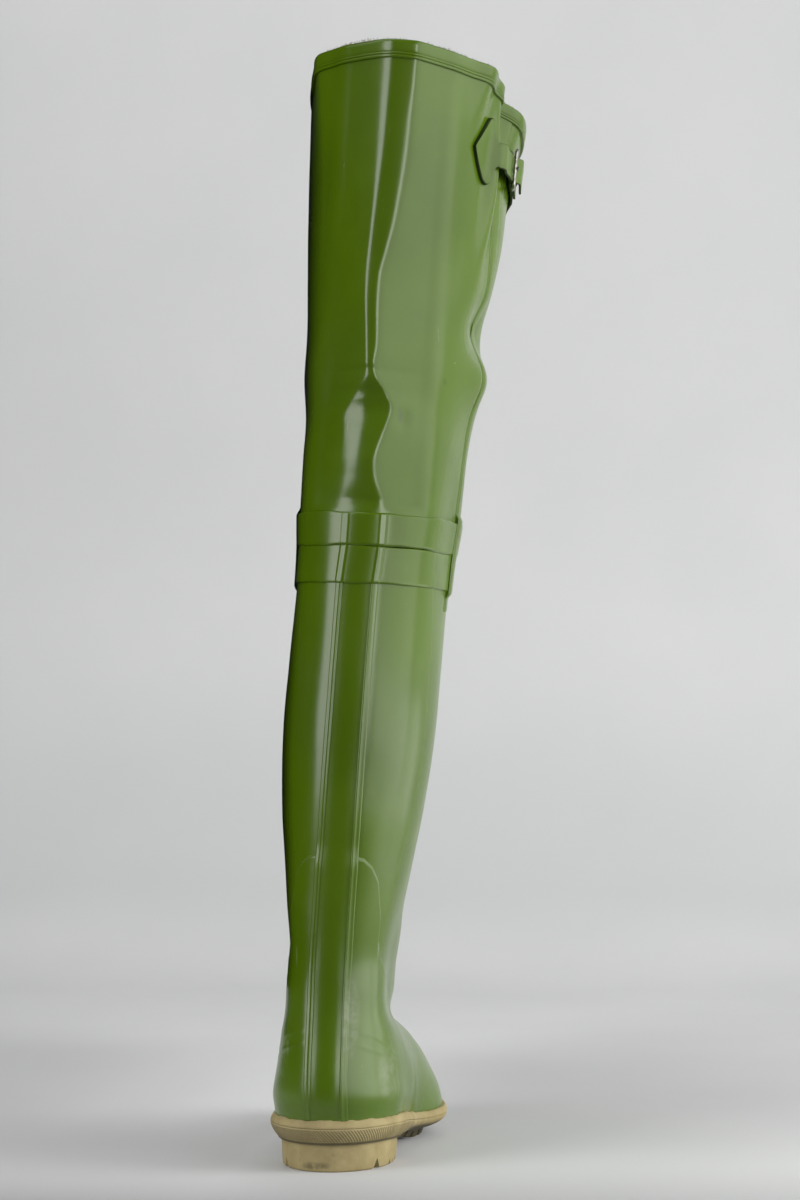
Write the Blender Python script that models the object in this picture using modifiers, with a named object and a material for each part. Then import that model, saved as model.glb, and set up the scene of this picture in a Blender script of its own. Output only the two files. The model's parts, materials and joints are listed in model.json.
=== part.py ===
"""A right-foot rubber thigh boot, in metres, with +Z up, the toe along +Y and the outer side along +X."""

import math
from collections import namedtuple

import bmesh
import bpy
import numpy as np
from mathutils import Matrix, Vector

MM = 0.001

# Driving sizes, in millimetres
FOOT_LENGTH = 302.0
BALL_WIDTH = 103.0
INSTEP_HEIGHT = 106.0
HEEL_SEAT = 30.5
HEEL_BACK = 3.0
KNEE_HEIGHT = 431.0
COLLAR_HEIGHT = 776.0
UPPER_WALL = 2.4
THIGH_WALL = 1.7
GAP = 0.3

# Above the ankle the leg leans to the outer side by one slope and its sections tilt that way by another,
# which grows in the thigh up to the collar
LEAN = 0.082
TILT = 0.05
THIGH_TILT = 0.045
THIGH_TILT_START = 600.0
LEAN_START = 128.0
LEAN_EASE = 30.0

# Columns of facets round the boot
COLUMNS = 44
STEP = 360 / COLUMNS

# Where round a section, from back 0 to front 1, each width column of the tables applies
WIDTH_STATIONS = (0.0, 0.15, 0.42, 0.68, 0.88, 1.0)

# Foot: heights are shares of the instep height (above the sole where sag is 1), reach of the foot length,
# widths of half the ball width
FootSection = namedtuple("FootSection", "name back_rise front_rise inset reach sag crest heel waist ball toe tip")
FOOT_SECTIONS = (
    FootSection("feather", 0.00, 0.00, 0.0, 0.993, 1.00, 1.36, 1.14, 0.71, 1.06, 1.14, 1.28),
    FootSection("edge", 0.07, 0.07, 0.0, 0.993, 1.00, 1.36, 1.14, 0.71, 1.06, 1.14, 1.28),
    FootSection("bulge", 0.47, 0.43, -2.5, 1.000, 0.65, 1.36, 1.17, 0.75, 0.99, 1.08, 1.17),
    FootSection("toe top", 0.62, 0.57, -2.0, 0.957, 0.30, 1.28, 1.10, 0.76, 0.83, 0.93, 0.97),
    FootSection("low vamp", 0.755, 0.68, 0.0, 0.868, 0.0, 1.20, 1.03, 0.73, 0.69, 0.72, 0.74),
    FootSection("vamp", 0.88, 0.83, 2.5, 0.755, 0.0, 1.15, 0.97, 0.69, 0.58, 0.51, 0.53),
    FootSection("instep", 1.00, 1.00, 4.5, 0.656, 0.0, 1.09, 0.90, 0.645, 0.58, 0.54, 0.56),
    FootSection("ankle", 1.15, 1.23, 6.0, 0.576, 0.0, 1.03, 0.86, 0.635, 0.63, 0.61, 0.63),
)

# Leg and thigh: sizes in millimetres, the last five columns are shares of the half width (all 1 is an ellipse)
LegSection = namedtuple("LegSection", "name height front_rise dip back front half_width crest heel waist toe tip")
LEG_SECTIONS = (
    LegSection("throat", 145.0, 15.0, 0.0, 9.0, 158.0, 34.8, 1.32, 1.19, 1.00, 0.93, 0.91),
    LegSection("above ankle", 175.0, 15.0, 0.0, 8.0, 148.0, 40.5, 1.22, 1.10, 1.00, 0.95, 0.95),
    LegSection("low calf", 210.0, 12.0, 0.0, 5.0, 143.5, 45.6, 1.08, 1.02, 1.00, 0.98, 0.97),
    LegSection("calf", 250.0, 8.0, 0.0, 1.0, 142.0, 50.2, 1.00, 1.00, 1.00, 1.00, 1.00),
    LegSection("high calf", 300.0, 4.0, 0.0, -2.0, 143.0, 54.0, 1.00, 1.00, 0.99, 1.00, 1.00),
    LegSection("below knee", 350.0, 2.0, 0.0, -4.0, 145.0, 54.7, 1.00, 0.99, 0.97, 1.00, 1.00),
    LegSection("knee", 400.0, 1.0, 0.0, -4.5, 147.0, 55.3, 1.00, 0.98, 0.94, 1.00, 1.00),
    LegSection("joint", KNEE_HEIGHT, 0.5, 0.0, -5.0, 148.5, 58.0, 1.00, 0.96, 0.89, 1.00, 1.00),
    LegSection("above bands", 456.0, 0.0, 0.0, -5.5, 150.0, 60.0, 1.00, 0.96, 0.89, 1.00, 1.00),
    LegSection("hollow", 497.0, 0.0, 0.0, -7.0, 158.0, 60.4, 0.98, 0.94, 0.92, 0.98, 0.95),
    LegSection("diamond", 525.0, 0.0, 0.0, -2.0, 165.0, 62.2, 1.15, 0.91, 0.91, 0.95, 0.90),
    LegSection("pinch", 554.0, -1.0, 0.0, -12.0, 171.0, 65.6, 0.42, 0.80, 0.90, 0.92, 0.80),
    LegSection("crest", 582.0, -2.0, 0.0, -16.0, 177.0, 64.6, 0.34, 0.77, 0.93, 0.90, 0.75),
    LegSection("low thigh", 614.0, -3.0, 3.0, -18.0, 184.0, 65.0, 0.40, 0.77, 0.97, 0.88, 0.70),
    LegSection("thigh", 672.0, -6.0, 12.0, -20.0, 197.0, 69.6, 0.55, 0.79, 0.97, 0.86, 0.66),
    LegSection("high thigh", 730.0, -8.0, 28.0, -21.0, 207.0, 74.0, 0.68, 0.81, 0.97, 0.85, 0.65),
    LegSection("collar", COLLAR_HEIGHT, -10.0, 42.0, -21.0, 213.0, 77.0, 0.78, 0.83, 0.97, 0.85, 0.65),
)
# The thigh sections dip to the front from this share of their depth on
DIP_START = 0.2

# Soft folds: turn in degrees from the back to the outer side, depth outward, and whether the strap bridges it
Fold = namedtuple("Fold", "name turn height depth width reach bridged")
FOLDS = (
    Fold("side pleat", 83.0, 792.0, -16.0, 14.0, 100.0, True),
    Fold("strap hollow", 98.0, 720.0, -6.0, 24.0, 40.0, False),
    Fold("rear flat", 67.0, 752.0, -6.5, 20.0, 62.0, False),
    Fold("side dent", 92.0, 594.0, -8.5, 26.0, 20.0, False),
    Fold("side bulge", 92.0, 558.0, 5.5, 26.0, 18.0, False),
)

# Sole along its length: share of the foot length, height of its top and of its underside
SoleStation = namedtuple("SoleStation", "share top under")
SOLE_STATIONS = (
    SoleStation(0.00, HEEL_SEAT, HEEL_SEAT - 11.5),
    SoleStation(0.14, HEEL_SEAT - 0.5, HEEL_SEAT - 12.0),
    SoleStation(0.28, HEEL_SEAT - 4.0, HEEL_SEAT - 15.5),
    SoleStation(0.40, 21.5, 10.0),
    SoleStation(0.50, 18.2, 4.5),
    SoleStation(0.61, 16.0, 0.0),
    SoleStation(0.70, 16.0, 0.0),
    SoleStation(0.78, 17.0, 0.0),
    SoleStation(0.90, 20.8, 3.5),
    SoleStation(1.00, 27.0, 11.5),
)

# The foot's middle line bows out at the ball and in at the toe
BOW_SHARES = (0.0, 0.3, 0.62, 0.8, 1.0)
BOW_SHIFTS = (0.0, 1.5, 4.0, 0.5, -8.0)
BOW_TOP = 170.0
BOW_FADE = 90.0

# Side of the sole, from its top edge down: offset from the upper's edge at heel and forefoot, drop below the top
SoleStep = namedtuple("SoleStep", "name heel_offset fore_offset drop")
SOLE_STEPS = (
    SoleStep("shoulder", 3.4, 2.2, 0.0),
    SoleStep("band crown", 4.4, 3.0, 1.8),
    SoleStep("band side", 3.4, 2.8, 5.0),
    SoleStep("band foot", -0.6, 1.6, 9.8),
)
TREAD_STEP = SoleStep("tread edge", -1.6, 0.2, 0.0)
FORE_START = 0.25
FORE_FULL = 0.55

# Tread bars and heel grooves
TREAD_START = 130.0
TREAD_PITCH = 12.5
TREAD_GROOVES = 13
TREAD_GROOVE_WIDTH = 4.6
TREAD_GROOVE_DEPTH = 4.6
HEEL_TOP_OFFSET = -3.6
HEEL_FOOT_OFFSET = -4.4
HEEL_BREAST_TURN = 60.0
HEEL_GROOVE_START = 23.0
HEEL_GROOVE_PITCH = 11.0
HEEL_GROOVES = 5
HEEL_GROOVE_WIDTH = 3.4
HEEL_GROOVE_DEPTH = 4.8

INSOLE_THICKNESS = 3.0
FOXING_TOP = 5.4
FOXING_PROFILE = ((0.0, GAP), (0.0, 3.0), (3.6, 2.6), (FOXING_TOP, 1.5), (FOXING_TOP, 2 * GAP))

# Knee bands
BAND_FOOT = 405.0
BAND_TOP = 454.0
LOWER_BAND_THICKNESS = 1.4
UPPER_BAND_THICKNESS = 2.0

# Heel counter: the height of its top and foot edges by degrees of turn from the back, foot 0 being the sole
COUNTER_GAP = 0.75
COUNTER_THICKNESS = 0.9
COUNTER_TOP = 219.0
CounterColumn = namedtuple("CounterColumn", "turn top foot")
COUNTER_COLUMNS = (
    CounterColumn(0.0, COUNTER_TOP, 0.0),
    CounterColumn(8.0, COUNTER_TOP, 0.0),
    CounterColumn(16.0, 218.5, 0.0),
    CounterColumn(24.0, 216.5, 0.0),
    CounterColumn(32.0, 211.0, 0.0),
    CounterColumn(39.0, 201.0, 0.0),
    CounterColumn(45.0, 178.0, 0.0),
    CounterColumn(47.0, 160.0, 0.0),
    CounterColumn(52.0, 146.0, 0.0),
    CounterColumn(60.0, 135.0, 50.0),
    CounterColumn(70.0, 125.0, 78.0),
    CounterColumn(80.0, 117.0, 106.0),
)
COUNTER_ROWS = (0.0, 0.02, 0.05, 0.1, 0.16, 0.23, 0.32, 0.45, 0.62, 0.8, 1.0)

# Back stay, a strip with a rib along each edge
STAY_THICKNESS = 1.6
STAY_WEB = 0.9
STAY_HALF_WIDTH = 14.8
STAY_RIB = 4.8

# Side seam strips, one facet wide
SEAM_THICKNESS = 1.0
SEAM_TURNS = (90 - STEP, 90 - STEP / 2, 90.0)
SEAM_FOOT = 390.0

# Collar binding, folded over the edge
BINDING_HEIGHT = 11.0
BINDING_INSIDE = 7.0
BINDING_THICKNESS = 1.1
BINDING_BEAD = 0.7

# Strap and buckle on the outer side
STRAP_HEIGHT = 713.5
STRAP_HALF = 9.0
STRAP_DROP = 0.15
STRAP_THICKNESS = 1.7
HINGE_TURN = 97.0
HINGE_OFFSET = 3.7
FAR_BAR = -14.0
FAR_OFFSET = 5.2
WIRE_RADIUS = 1.3
FRAME_HALF = 12.4
SPADE_LENGTH = 36.0
SPADE_HALF = 25.5
REAR_TIP = -88.0
STRAP_END = 13.0
FRONT_TIP = 70.0
LOOP_RADIUS = WIRE_RADIUS + GAP + STRAP_THICKNESS / 2
PRONG_RADIUS = 0.8

GREEN = (0.075, 0.125, 0.010)
TAN = (0.26, 0.21, 0.10)
FABRIC = (0.34, 0.31, 0.22)
STEEL = (0.62, 0.61, 0.58)


def smooth(x, knots, values, flat_ends=False):
    """Reads a cubic through values at the knots; values may hold a row for each x."""
    knots = np.asarray(knots, float)
    x = np.clip(np.atleast_1d(np.asarray(x, float)), knots[0], knots[-1])
    values = np.broadcast_to(np.asarray(values, float), (len(x), len(knots)))
    slopes = np.gradient(values, knots, axis=1)
    if flat_ends:
        slopes[:, 0] = 0.0
        slopes[:, -1] = 0.0
    cell = np.clip(np.searchsorted(knots, x, side="right") - 1, 0, len(knots) - 2)
    rows = np.arange(len(x))
    span = knots[cell + 1] - knots[cell]
    s = (x - knots[cell]) / span
    here, there = values[rows, cell], values[rows, cell + 1]
    out, into = slopes[rows, cell] * span, slopes[rows, cell + 1] * span
    return here + s * out + s**2 * (3 * (there - here) - 2 * out - into) + s**3 * (2 * (here - there) + out + into)


def sole_top(y):
    shares = [station.share for station in SOLE_STATIONS]
    return smooth(np.asarray(y) / FOOT_LENGTH, shares, [station.top for station in SOLE_STATIONS])


def sole_under(y):
    shares = [station.share for station in SOLE_STATIONS]
    return np.maximum(smooth(np.asarray(y) / FOOT_LENGTH, shares, [s.under for s in SOLE_STATIONS]), 0.0)


Section = namedtuple("Section", "back_z front_z back front sag dip crest heel waist ball toe tip")


def build_sections():
    """Turns both tables into one list of sections in millimetres, from the sole's edge to the collar."""
    half = BALL_WIDTH / 2
    sections = []
    for row in FOOT_SECTIONS:
        back = HEEL_BACK + row.inset
        front = FOOT_LENGTH * row.reach
        back_z, front_z = row.back_rise * INSTEP_HEIGHT, row.front_rise * INSTEP_HEIGHT
        if row.sag == 1.0:
            back_z += float(sole_top(back)[0]) + GAP
            front_z += float(sole_top(front)[0]) + GAP
        widths = (half * share for share in (row.crest, row.heel, row.waist, row.ball, row.toe, row.tip))
        sections.append(Section(back_z, front_z, back, front, row.sag, 0.0, *widths))
    for row in LEG_SECTIONS:
        shares = (row.crest, row.heel, row.waist, 1.0, row.toe, row.tip)
        widths = (row.half_width * share for share in shares)
        sections.append(Section(row.height, row.height + row.front_rise, row.back, row.front, 0.0, row.dip, *widths))
    return sections


SECTIONS = build_sections()
JOINT_LEVEL = len(FOOT_SECTIONS) + [row.name for row in LEG_SECTIONS].index("joint")
TOP_LEVEL = len(SECTIONS) - 1
STATION_TURNS = [math.acos(1 - 2 * share) for share in WIDTH_STATIONS]


def section_at(level):
    columns = zip(*SECTIONS)
    return Section(*(smooth(level, range(len(SECTIONS)), column) for column in columns))


FINE_LEVELS = np.linspace(0, TOP_LEVEL, 40 * TOP_LEVEL + 1)
FINE_HEIGHTS = section_at(FINE_LEVELS).back_z


def level_at(height):
    """The level whose section stands at this height at the back."""
    return np.interp(height, FINE_HEIGHTS, FINE_LEVELS)


def plain_plan(section, turn):
    """The section's outline from above, before folds and lean."""
    along = (1 - np.cos(turn)) / 2
    widths = np.stack(section[6:], axis=1)
    around = np.abs((turn + math.pi) % (2 * math.pi) - math.pi)
    x = np.sin(turn) * smooth(around, STATION_TURNS, widths, flat_ends=True)
    return x, section.back + (section.front - section.back) * along


def pressed_plan(section, turn, folds):
    """The same outline with soft folds pressed into it."""
    x, y = plain_plan(section, turn)
    out_x, out_y, speed = outward(plain_plan, section, turn)
    push = np.zeros(len(turn))
    for fold in folds:
        across = (turn - math.radians(fold.turn)) * speed / fold.width
        up = (section.back_z - fold.height) / fold.reach
        push += fold.depth * np.exp(-across**2 - up**2)
    return x + out_x * push, y + out_y * push


def folded_plan(section, turn):
    return pressed_plan(section, turn, FOLDS)


def bridged_plan(section, turn):
    return pressed_plan(section, turn, [fold for fold in FOLDS if not fold.bridged])


def outward(plan, section, turn, step=0.004):
    """The outline's outward direction and its length for one radian of turn."""
    ahead, behind = plan(section, turn + step), plan(section, turn - step)
    run_x, run_y = (ahead[0] - behind[0]) / (2 * step), (ahead[1] - behind[1]) / (2 * step)
    speed = np.hypot(run_x, run_y)
    return run_y / speed, -run_x / speed, speed


def surface(level, turn, offset=0.0, folded=True):
    """Points of the boot's outside in millimetres, moved outward by the offset."""
    level, turn, offset = np.broadcast_arrays(np.asarray(level, float), turn, offset)
    shape = level.shape
    level, turn, offset = level.ravel(), turn.ravel(), offset.ravel()
    section = section_at(level)
    plan = folded_plan if folded else bridged_plan
    x, y = plan(section, turn)
    along = (1 - np.cos(turn)) / 2
    chord = sole_top(section.back) + (sole_top(section.front) - sole_top(section.back)) * along
    z = section.back_z + (section.front_z - section.back_z) * along + section.sag * (sole_top(y) - chord)
    low = np.clip((along - DIP_START) / (1 - DIP_START), 0, 1)
    z = z - section.dip * low * low * (3 - 2 * low)
    out_x, out_y, speed = outward(plan, section, turn)
    x, y = x + out_x * offset, y + out_y * offset
    rise = section.back_z - LEAN_START
    ease = np.hypot(rise, LEAN_EASE)
    bow = smooth(y / FOOT_LENGTH, BOW_SHARES, BOW_SHIFTS) * np.clip((BOW_TOP - section.back_z) / BOW_FADE, 0, 1)
    thigh = np.clip((section.back_z - THIGH_TILT_START) / (COLLAR_HEIGHT - THIGH_TILT_START), 0, 1)
    z = z - x * (TILT * (1 + rise / ease) / 2 + THIGH_TILT * thigh)
    x = x + bow + LEAN * (rise + ease) / 2
    return np.stack((x, y, z), axis=-1).reshape(shape + (3,))


def clear_scene():
    for item in list(bpy.data.objects):
        bpy.data.objects.remove(item)


def make_material(name, colour, roughness, metallic=0.0):
    material = bpy.data.materials.new(name)
    material.use_nodes = True
    shader = material.node_tree.nodes["Principled BSDF"]
    shader.inputs["Base Color"].default_value = (*colour, 1.0)
    shader.inputs["Roughness"].default_value = roughness
    shader.inputs["Metallic"].default_value = metallic
    material.diffuse_color = (*colour, 1.0)
    return material


def add_object(name, data, material=None, collection=None):
    item = bpy.data.objects.new(name, data)
    (collection or PARTS).objects.link(item)
    item.parent = ROOT
    if material:
        data.materials.append(material)
    return item


def grid_object(name, points, material=None, collection=None, fill_ends=False):
    """A grid whose rows and columns take the given points; edges that meet are merged."""
    rows, columns = points.shape[:2]
    mesh = bmesh.new()
    bmesh.ops.create_grid(mesh, x_segments=columns - 1, y_segments=rows - 1, size=1)
    for vert in mesh.verts:
        column = round((vert.co.x + 1) / 2 * (columns - 1))
        row = round((vert.co.y + 1) / 2 * (rows - 1))
        vert.co = Vector(points[row, column]) * MM
    bmesh.ops.remove_doubles(mesh, verts=mesh.verts, dist=0.000001)
    if fill_ends:
        bmesh.ops.holes_fill(mesh, edges=[edge for edge in mesh.edges if edge.is_boundary], sides=0)
        bmesh.ops.recalc_face_normals(mesh, faces=mesh.faces)
    data = bpy.data.meshes.new(name)
    mesh.to_mesh(data)
    mesh.free()
    return add_object(name, data, material, collection)


def add_wall(item, thickness, outward):
    wall = item.modifiers.new("wall", "SOLIDIFY")
    wall.thickness = thickness * MM
    wall.offset = outward
    wall.use_even_offset = True
    return wall


def add_cut(item, cutter, operation="DIFFERENCE"):
    cut = item.modifiers.new("cut", "BOOLEAN")
    cut.operation = operation
    cut.solver = "EXACT"
    cut.object = cutter
    cutter.hide_render = True
    cutter.display_type = "WIRE"


def box_cutter(name, boxes):
    """One cutter from boxes, each a centre matrix and a size in millimetres."""
    mesh = bmesh.new()
    for place, size in boxes:
        bmesh.ops.create_cube(mesh, size=MM, matrix=place @ Matrix.Diagonal((*size, 1.0)))
    data = bpy.data.meshes.new(name)
    mesh.to_mesh(data)
    mesh.free()
    return add_object(name, data, collection=CUTTERS)


def prism_cutter(name, outlines, width):
    """One cutter from flat outlines of (y, z), each drawn out across the boot."""
    mesh = bmesh.new()
    for outline in outlines:
        verts = [mesh.verts.new(Vector((-width / 2, y, z)) * MM) for y, z in outline]
        face = mesh.faces.new(verts)
        drawn = bmesh.ops.extrude_face_region(mesh, geom=[face])
        moved = [item for item in drawn["geom"] if isinstance(item, bmesh.types.BMVert)]
        bmesh.ops.translate(mesh, verts=moved, vec=Vector((width, 0, 0)) * MM)
    bmesh.ops.recalc_face_normals(mesh, faces=mesh.faces)
    data = bpy.data.meshes.new(name)
    mesh.to_mesh(data)
    mesh.free()
    return add_object(name, data, collection=CUTTERS)


def round_turns(fine=False):
    """Turns of the columns round the boot, with columns between them at the side pleat if fine."""
    turns = np.arange(COLUMNS + 1) * STEP
    if fine:
        turns = np.sort(np.concatenate((turns, (np.arange(8, 12) + 0.5) * STEP)))
    return np.radians(turns)


def sheet(levels, turns, offset=0.0, folded=True):
    return surface(np.asarray(levels)[:, None], np.asarray(turns)[None, :], offset, folded)


FOOT_LEVELS = [0.0] + list(np.arange(1, 5, 0.5)) + list(range(5, len(FOOT_SECTIONS) + 1))
LEG_LEVELS = list(range(len(FOOT_SECTIONS) + 1, JOINT_LEVEL))
BINDING_LEVEL = float(level_at(COLLAR_HEIGHT - BINDING_HEIGHT))
THIGH_LEVELS = list(range(JOINT_LEVEL + 1, JOINT_LEVEL + 4)) + [JOINT_LEVEL + 3.5]
THIGH_LEVELS += list(range(JOINT_LEVEL + 4, TOP_LEVEL - 1)) + [TOP_LEVEL - 1.5, TOP_LEVEL - 1, BINDING_LEVEL, TOP_LEVEL]


def build_shells():
    joint_foot, joint_top = level_at(KNEE_HEIGHT - GAP), level_at(KNEE_HEIGHT + GAP)
    upper = grid_object("upper", sheet(FOOT_LEVELS + LEG_LEVELS + [joint_foot], round_turns()), RUBBER)
    add_wall(upper, UPPER_WALL, -1)
    thigh = grid_object("thigh_tube", sheet([joint_top] + THIGH_LEVELS, round_turns(True)), SOFT_RUBBER)
    add_wall(thigh, THIGH_WALL, -1)


def sole_loop(turns, lateral):
    """Closed sections of a sole piece: lateral gives (offset, height) pairs for each turn, top to bottom."""
    rows = []
    for side in (1, -1):
        turns_here = side * np.asarray(turns)
        half = []
        for offset, height in lateral:
            points = surface(np.zeros(len(turns)), turns_here, offset)
            points[:, 2] = height
            half.append(points)
        rows += half if side == 1 else half[::-1]
    return np.array(rows + rows[:1])


def build_sole():
    turns = np.linspace(0, math.pi, COLUMNS // 2 + 1)
    edge_y = surface(np.zeros(len(turns)), turns)[:, 1]
    top, under = sole_top(edge_y), sole_under(edge_y)
    fore = np.clip((edge_y / FOOT_LENGTH - FORE_START) / (FORE_FULL - FORE_START), 0, 1)
    fore = fore * fore * (3 - 2 * fore)
    side = []
    for step in SOLE_STEPS + (TREAD_STEP,):
        offset = step.heel_offset + (step.fore_offset - step.heel_offset) * fore
        side.append((offset, under if step is TREAD_STEP else top - step.drop))
    outsole = grid_object("outsole", sole_loop(turns, side), SOLE_RUBBER, fill_ends=True)
    grooves = []
    for index in range(TREAD_GROOVES):
        y = TREAD_START + TREAD_PITCH * index
        roof = float(sole_under(y)[0]) + TREAD_GROOVE_DEPTH
        centre = Vector((0, y, roof - 10)) * MM
        grooves.append((Matrix.Translation(centre), (160.0, TREAD_GROOVE_WIDTH, 20.0)))
    add_cut(outsole, box_cutter("tread_grooves", grooves))

    heel_turns = np.linspace(0, math.radians(HEEL_BREAST_TURN), 9)
    heel_top = sole_under(surface(np.zeros(len(heel_turns)), heel_turns)[:, 1]) - GAP
    floor = np.zeros(len(heel_turns))
    heel_side = [(HEEL_TOP_OFFSET, heel_top), (HEEL_FOOT_OFFSET, floor + 1.5), (HEEL_FOOT_OFFSET - 1.0, floor)]
    heel = grid_object("heel_block", sole_loop(heel_turns, heel_side), SOLE_RUBBER, fill_ends=True)
    notches = []
    for index in range(HEEL_GROOVES):
        y = HEEL_GROOVE_START + HEEL_GROOVE_PITCH * index
        notches.append([(y - HEEL_GROOVE_WIDTH, -HEEL_GROOVE_DEPTH), (y + HEEL_GROOVE_WIDTH, -HEEL_GROOVE_DEPTH),
                        (y, HEEL_GROOVE_DEPTH)])
    add_cut(heel, prism_cutter("heel_grooves", notches, 120.0))

    inside = -UPPER_WALL - 1.0
    bed = [(inside, top + GAP + INSOLE_THICKNESS), (inside, top + GAP)]
    grid_object("insole", sole_loop(turns, bed), LINING, fill_ends=True)


def ring_loop(profile, fine=False):
    """Points of a closed profile of (level, offset, lift) carried round the boot."""
    rows = []
    for level, offset, lift in profile:
        points = sheet([level], round_turns(fine), offset)[0]
        points[:, 2] += lift
        rows.append(points)
    return np.array(rows + rows[:1])


def build_foxing():
    rise = SECTIONS[1].back_z - SECTIONS[0].back_z
    profile = [(height / rise, offset, 0.0) for height, offset in FOXING_PROFILE]
    grid_object("foxing_strip", ring_loop(profile), SOLE_RUBBER, fill_ends=True)


def build_bands():
    lower = grid_object("knee_band_lower", sheet(level_at([BAND_FOOT, KNEE_HEIGHT - GAP]), round_turns(), GAP), RUBBER)
    add_wall(lower, LOWER_BAND_THICKNESS, 1)
    upper = grid_object("knee_band_upper", sheet(level_at([KNEE_HEIGHT, BAND_TOP]), round_turns(), GAP), RUBBER)
    add_wall(upper, UPPER_BAND_THICKNESS, 1)


def build_binding():
    foot = BINDING_LEVEL
    bead = level_at(COLLAR_HEIGHT - BINDING_HEIGHT + 2.2)
    inside_foot = level_at(COLLAR_HEIGHT - BINDING_INSIDE)
    inner = -THIGH_WALL - 2 * GAP
    lift = 2 * GAP
    outer = GAP + BINDING_THICKNESS
    profile = (
        (foot, 1.5 * GAP, 0.0),
        (foot, outer + BINDING_BEAD, 0.0),
        (bead, outer + BINDING_BEAD, 0.0),
        (TOP_LEVEL, outer, lift + BINDING_THICKNESS),
        (TOP_LEVEL, inner - BINDING_THICKNESS, lift + BINDING_THICKNESS),
        (inside_foot, inner - BINDING_THICKNESS, 0.0),
        (inside_foot, inner, 0.0),
        (TOP_LEVEL, inner, lift),
        (TOP_LEVEL, 1.5 * GAP, lift),
    )
    grid_object("collar_binding", ring_loop(profile, True), SOFT_RUBBER, fill_ends=True)


def foxing_clear_level():
    return (FOXING_TOP + 2 * GAP) / (SECTIONS[1].back_z - SECTIONS[0].back_z)


def build_counter():
    columns = [(-row.turn, row.top, row.foot) for row in COUNTER_COLUMNS[:0:-1]] + list(COUNTER_COLUMNS)
    foot_height = np.interp(foxing_clear_level(), FINE_LEVELS, FINE_HEIGHTS)
    heights = []
    for turn, top, foot in columns:
        foot = foot or foot_height
        heights.append(foot + (top - foot) * np.array(COUNTER_ROWS))
    turns = np.radians([turn for turn, top, foot in columns])
    points = surface(level_at(np.array(heights).T), turns[None, :], COUNTER_GAP)
    add_wall(grid_object("heel_counter", points, RUBBER), COUNTER_THICKNESS, 1)


def build_stay():
    rib_edge = STAY_HALF_WIDTH - STAY_RIB
    half = np.array((0.0, rib_edge / 2, rib_edge - 0.3, rib_edge, STAY_HALF_WIDTH))
    across = np.concatenate((-half[:0:-1], half))
    bridge = level_at([COUNTER_TOP + 1.5, COUNTER_TOP + 8])
    lower = [foxing_clear_level()] + FOOT_LEVELS[1:] + LEG_LEVELS[:2] + [bridge[0]]
    upper = [bridge[1]] + LEG_LEVELS[2:] + [level_at(BAND_FOOT - 2 * GAP)]
    levels = np.array(lower + upper)
    over_counter = COUNTER_GAP + COUNTER_THICKNESS + 1.5 * GAP
    offset = np.concatenate((np.full(len(lower), over_counter), np.full(len(upper), GAP)))
    turns = across[None, :] / section_at(levels).crest[:, None]
    stay = grid_object("back_stay", surface(levels[:, None], turns, offset[:, None]), RUBBER)
    wall = add_wall(stay, STAY_THICKNESS, 1)
    rib = stay.vertex_groups.new(name="thickness")
    points = surface(levels[:, None], turns, offset[:, None]) * MM
    for vert in stay.data.vertices:
        distance = np.abs(points - np.array(vert.co)).sum(axis=-1)
        column = np.unravel_index(np.argmin(distance), distance.shape)[1]
        on_rib = abs(across[column]) > rib_edge - 0.1
        rib.add([vert.index], 1.0 if on_rib else STAY_WEB / STAY_THICKNESS, "REPLACE")
    wall.vertex_group = rib.name


def build_seams():
    over_bands = GAP + UPPER_BAND_THICKNESS + GAP
    heights = [(SEAM_FOOT, GAP), (BAND_FOOT - 4.5, GAP), (BAND_FOOT - 0.8, over_bands), (KNEE_HEIGHT, over_bands)]
    heights += [(BAND_TOP + 0.8, over_bands), (BAND_TOP + 4.5, GAP)]
    end = level_at(COLLAR_HEIGHT - BINDING_HEIGHT - 3 * GAP)
    upper = [level for level in THIGH_LEVELS[1:] if level < end - 0.1] + [end]
    levels = np.array([level_at(height) for height, offset in heights] + upper)
    offsets = np.array([offset for height, offset in heights] + [GAP] * len(upper))
    for name, side in (("side_seam_lateral", 1), ("side_seam_medial", -1)):
        turns = np.radians(sorted(side * turn for turn in SEAM_TURNS))
        strip = grid_object(name, surface(levels[:, None], turns[None, :], offsets[:, None]), RUBBER)
        add_wall(strip, SEAM_THICKNESS, 1)


STRAP_TURNS = np.linspace(0.3, 2.9, 400)


def strap_levels(turn, height):
    """Levels at these heights from the strap's middle line, which is level up to the hinge and then dips."""
    turn = np.minimum(turn, math.radians(HINGE_TURN))
    wanted = STRAP_HEIGHT + np.asarray(height, float)
    back_height = wanted
    for attempt in range(4):
        back_height = back_height + wanted - surface(level_at(back_height), turn, 0.0, False)[..., 2]
    return level_at(back_height)


STRAP_LINE = surface(strap_levels(STRAP_TURNS, np.zeros(400)), STRAP_TURNS, 0.0, False)
STRAP_RUN = np.concatenate(([0.0], np.cumsum(np.linalg.norm(np.diff(STRAP_LINE, axis=0), axis=1))))
STRAP_RUN = STRAP_RUN - np.interp(math.radians(HINGE_TURN), STRAP_TURNS, STRAP_RUN)


def strap_points(run, height, offset):
    """Points by run along the strap from the hinge bar, height from its middle line and offset outward."""
    turn = np.interp(run, STRAP_RUN, STRAP_TURNS)
    height = np.asarray(height) - STRAP_DROP * np.maximum(run, 0)
    return surface(strap_levels(turn, height), turn, offset, False)


def strap_frame(run, height, offset):
    """A matrix at a strap point: x along the strap, y up, z outward."""
    at = Vector(strap_points([run], [height], offset)[0])
    along = (Vector(strap_points([run + 1], [height], offset)[0]) - at).normalized()
    out = (Vector(strap_points([run], [height], offset + 1)[0]) - at).normalized()
    up = out.cross(along).normalized()
    out = along.cross(up)
    place = Matrix((along, up, out)).transposed().to_4x4()
    place.translation = at * MM
    return place


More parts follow.
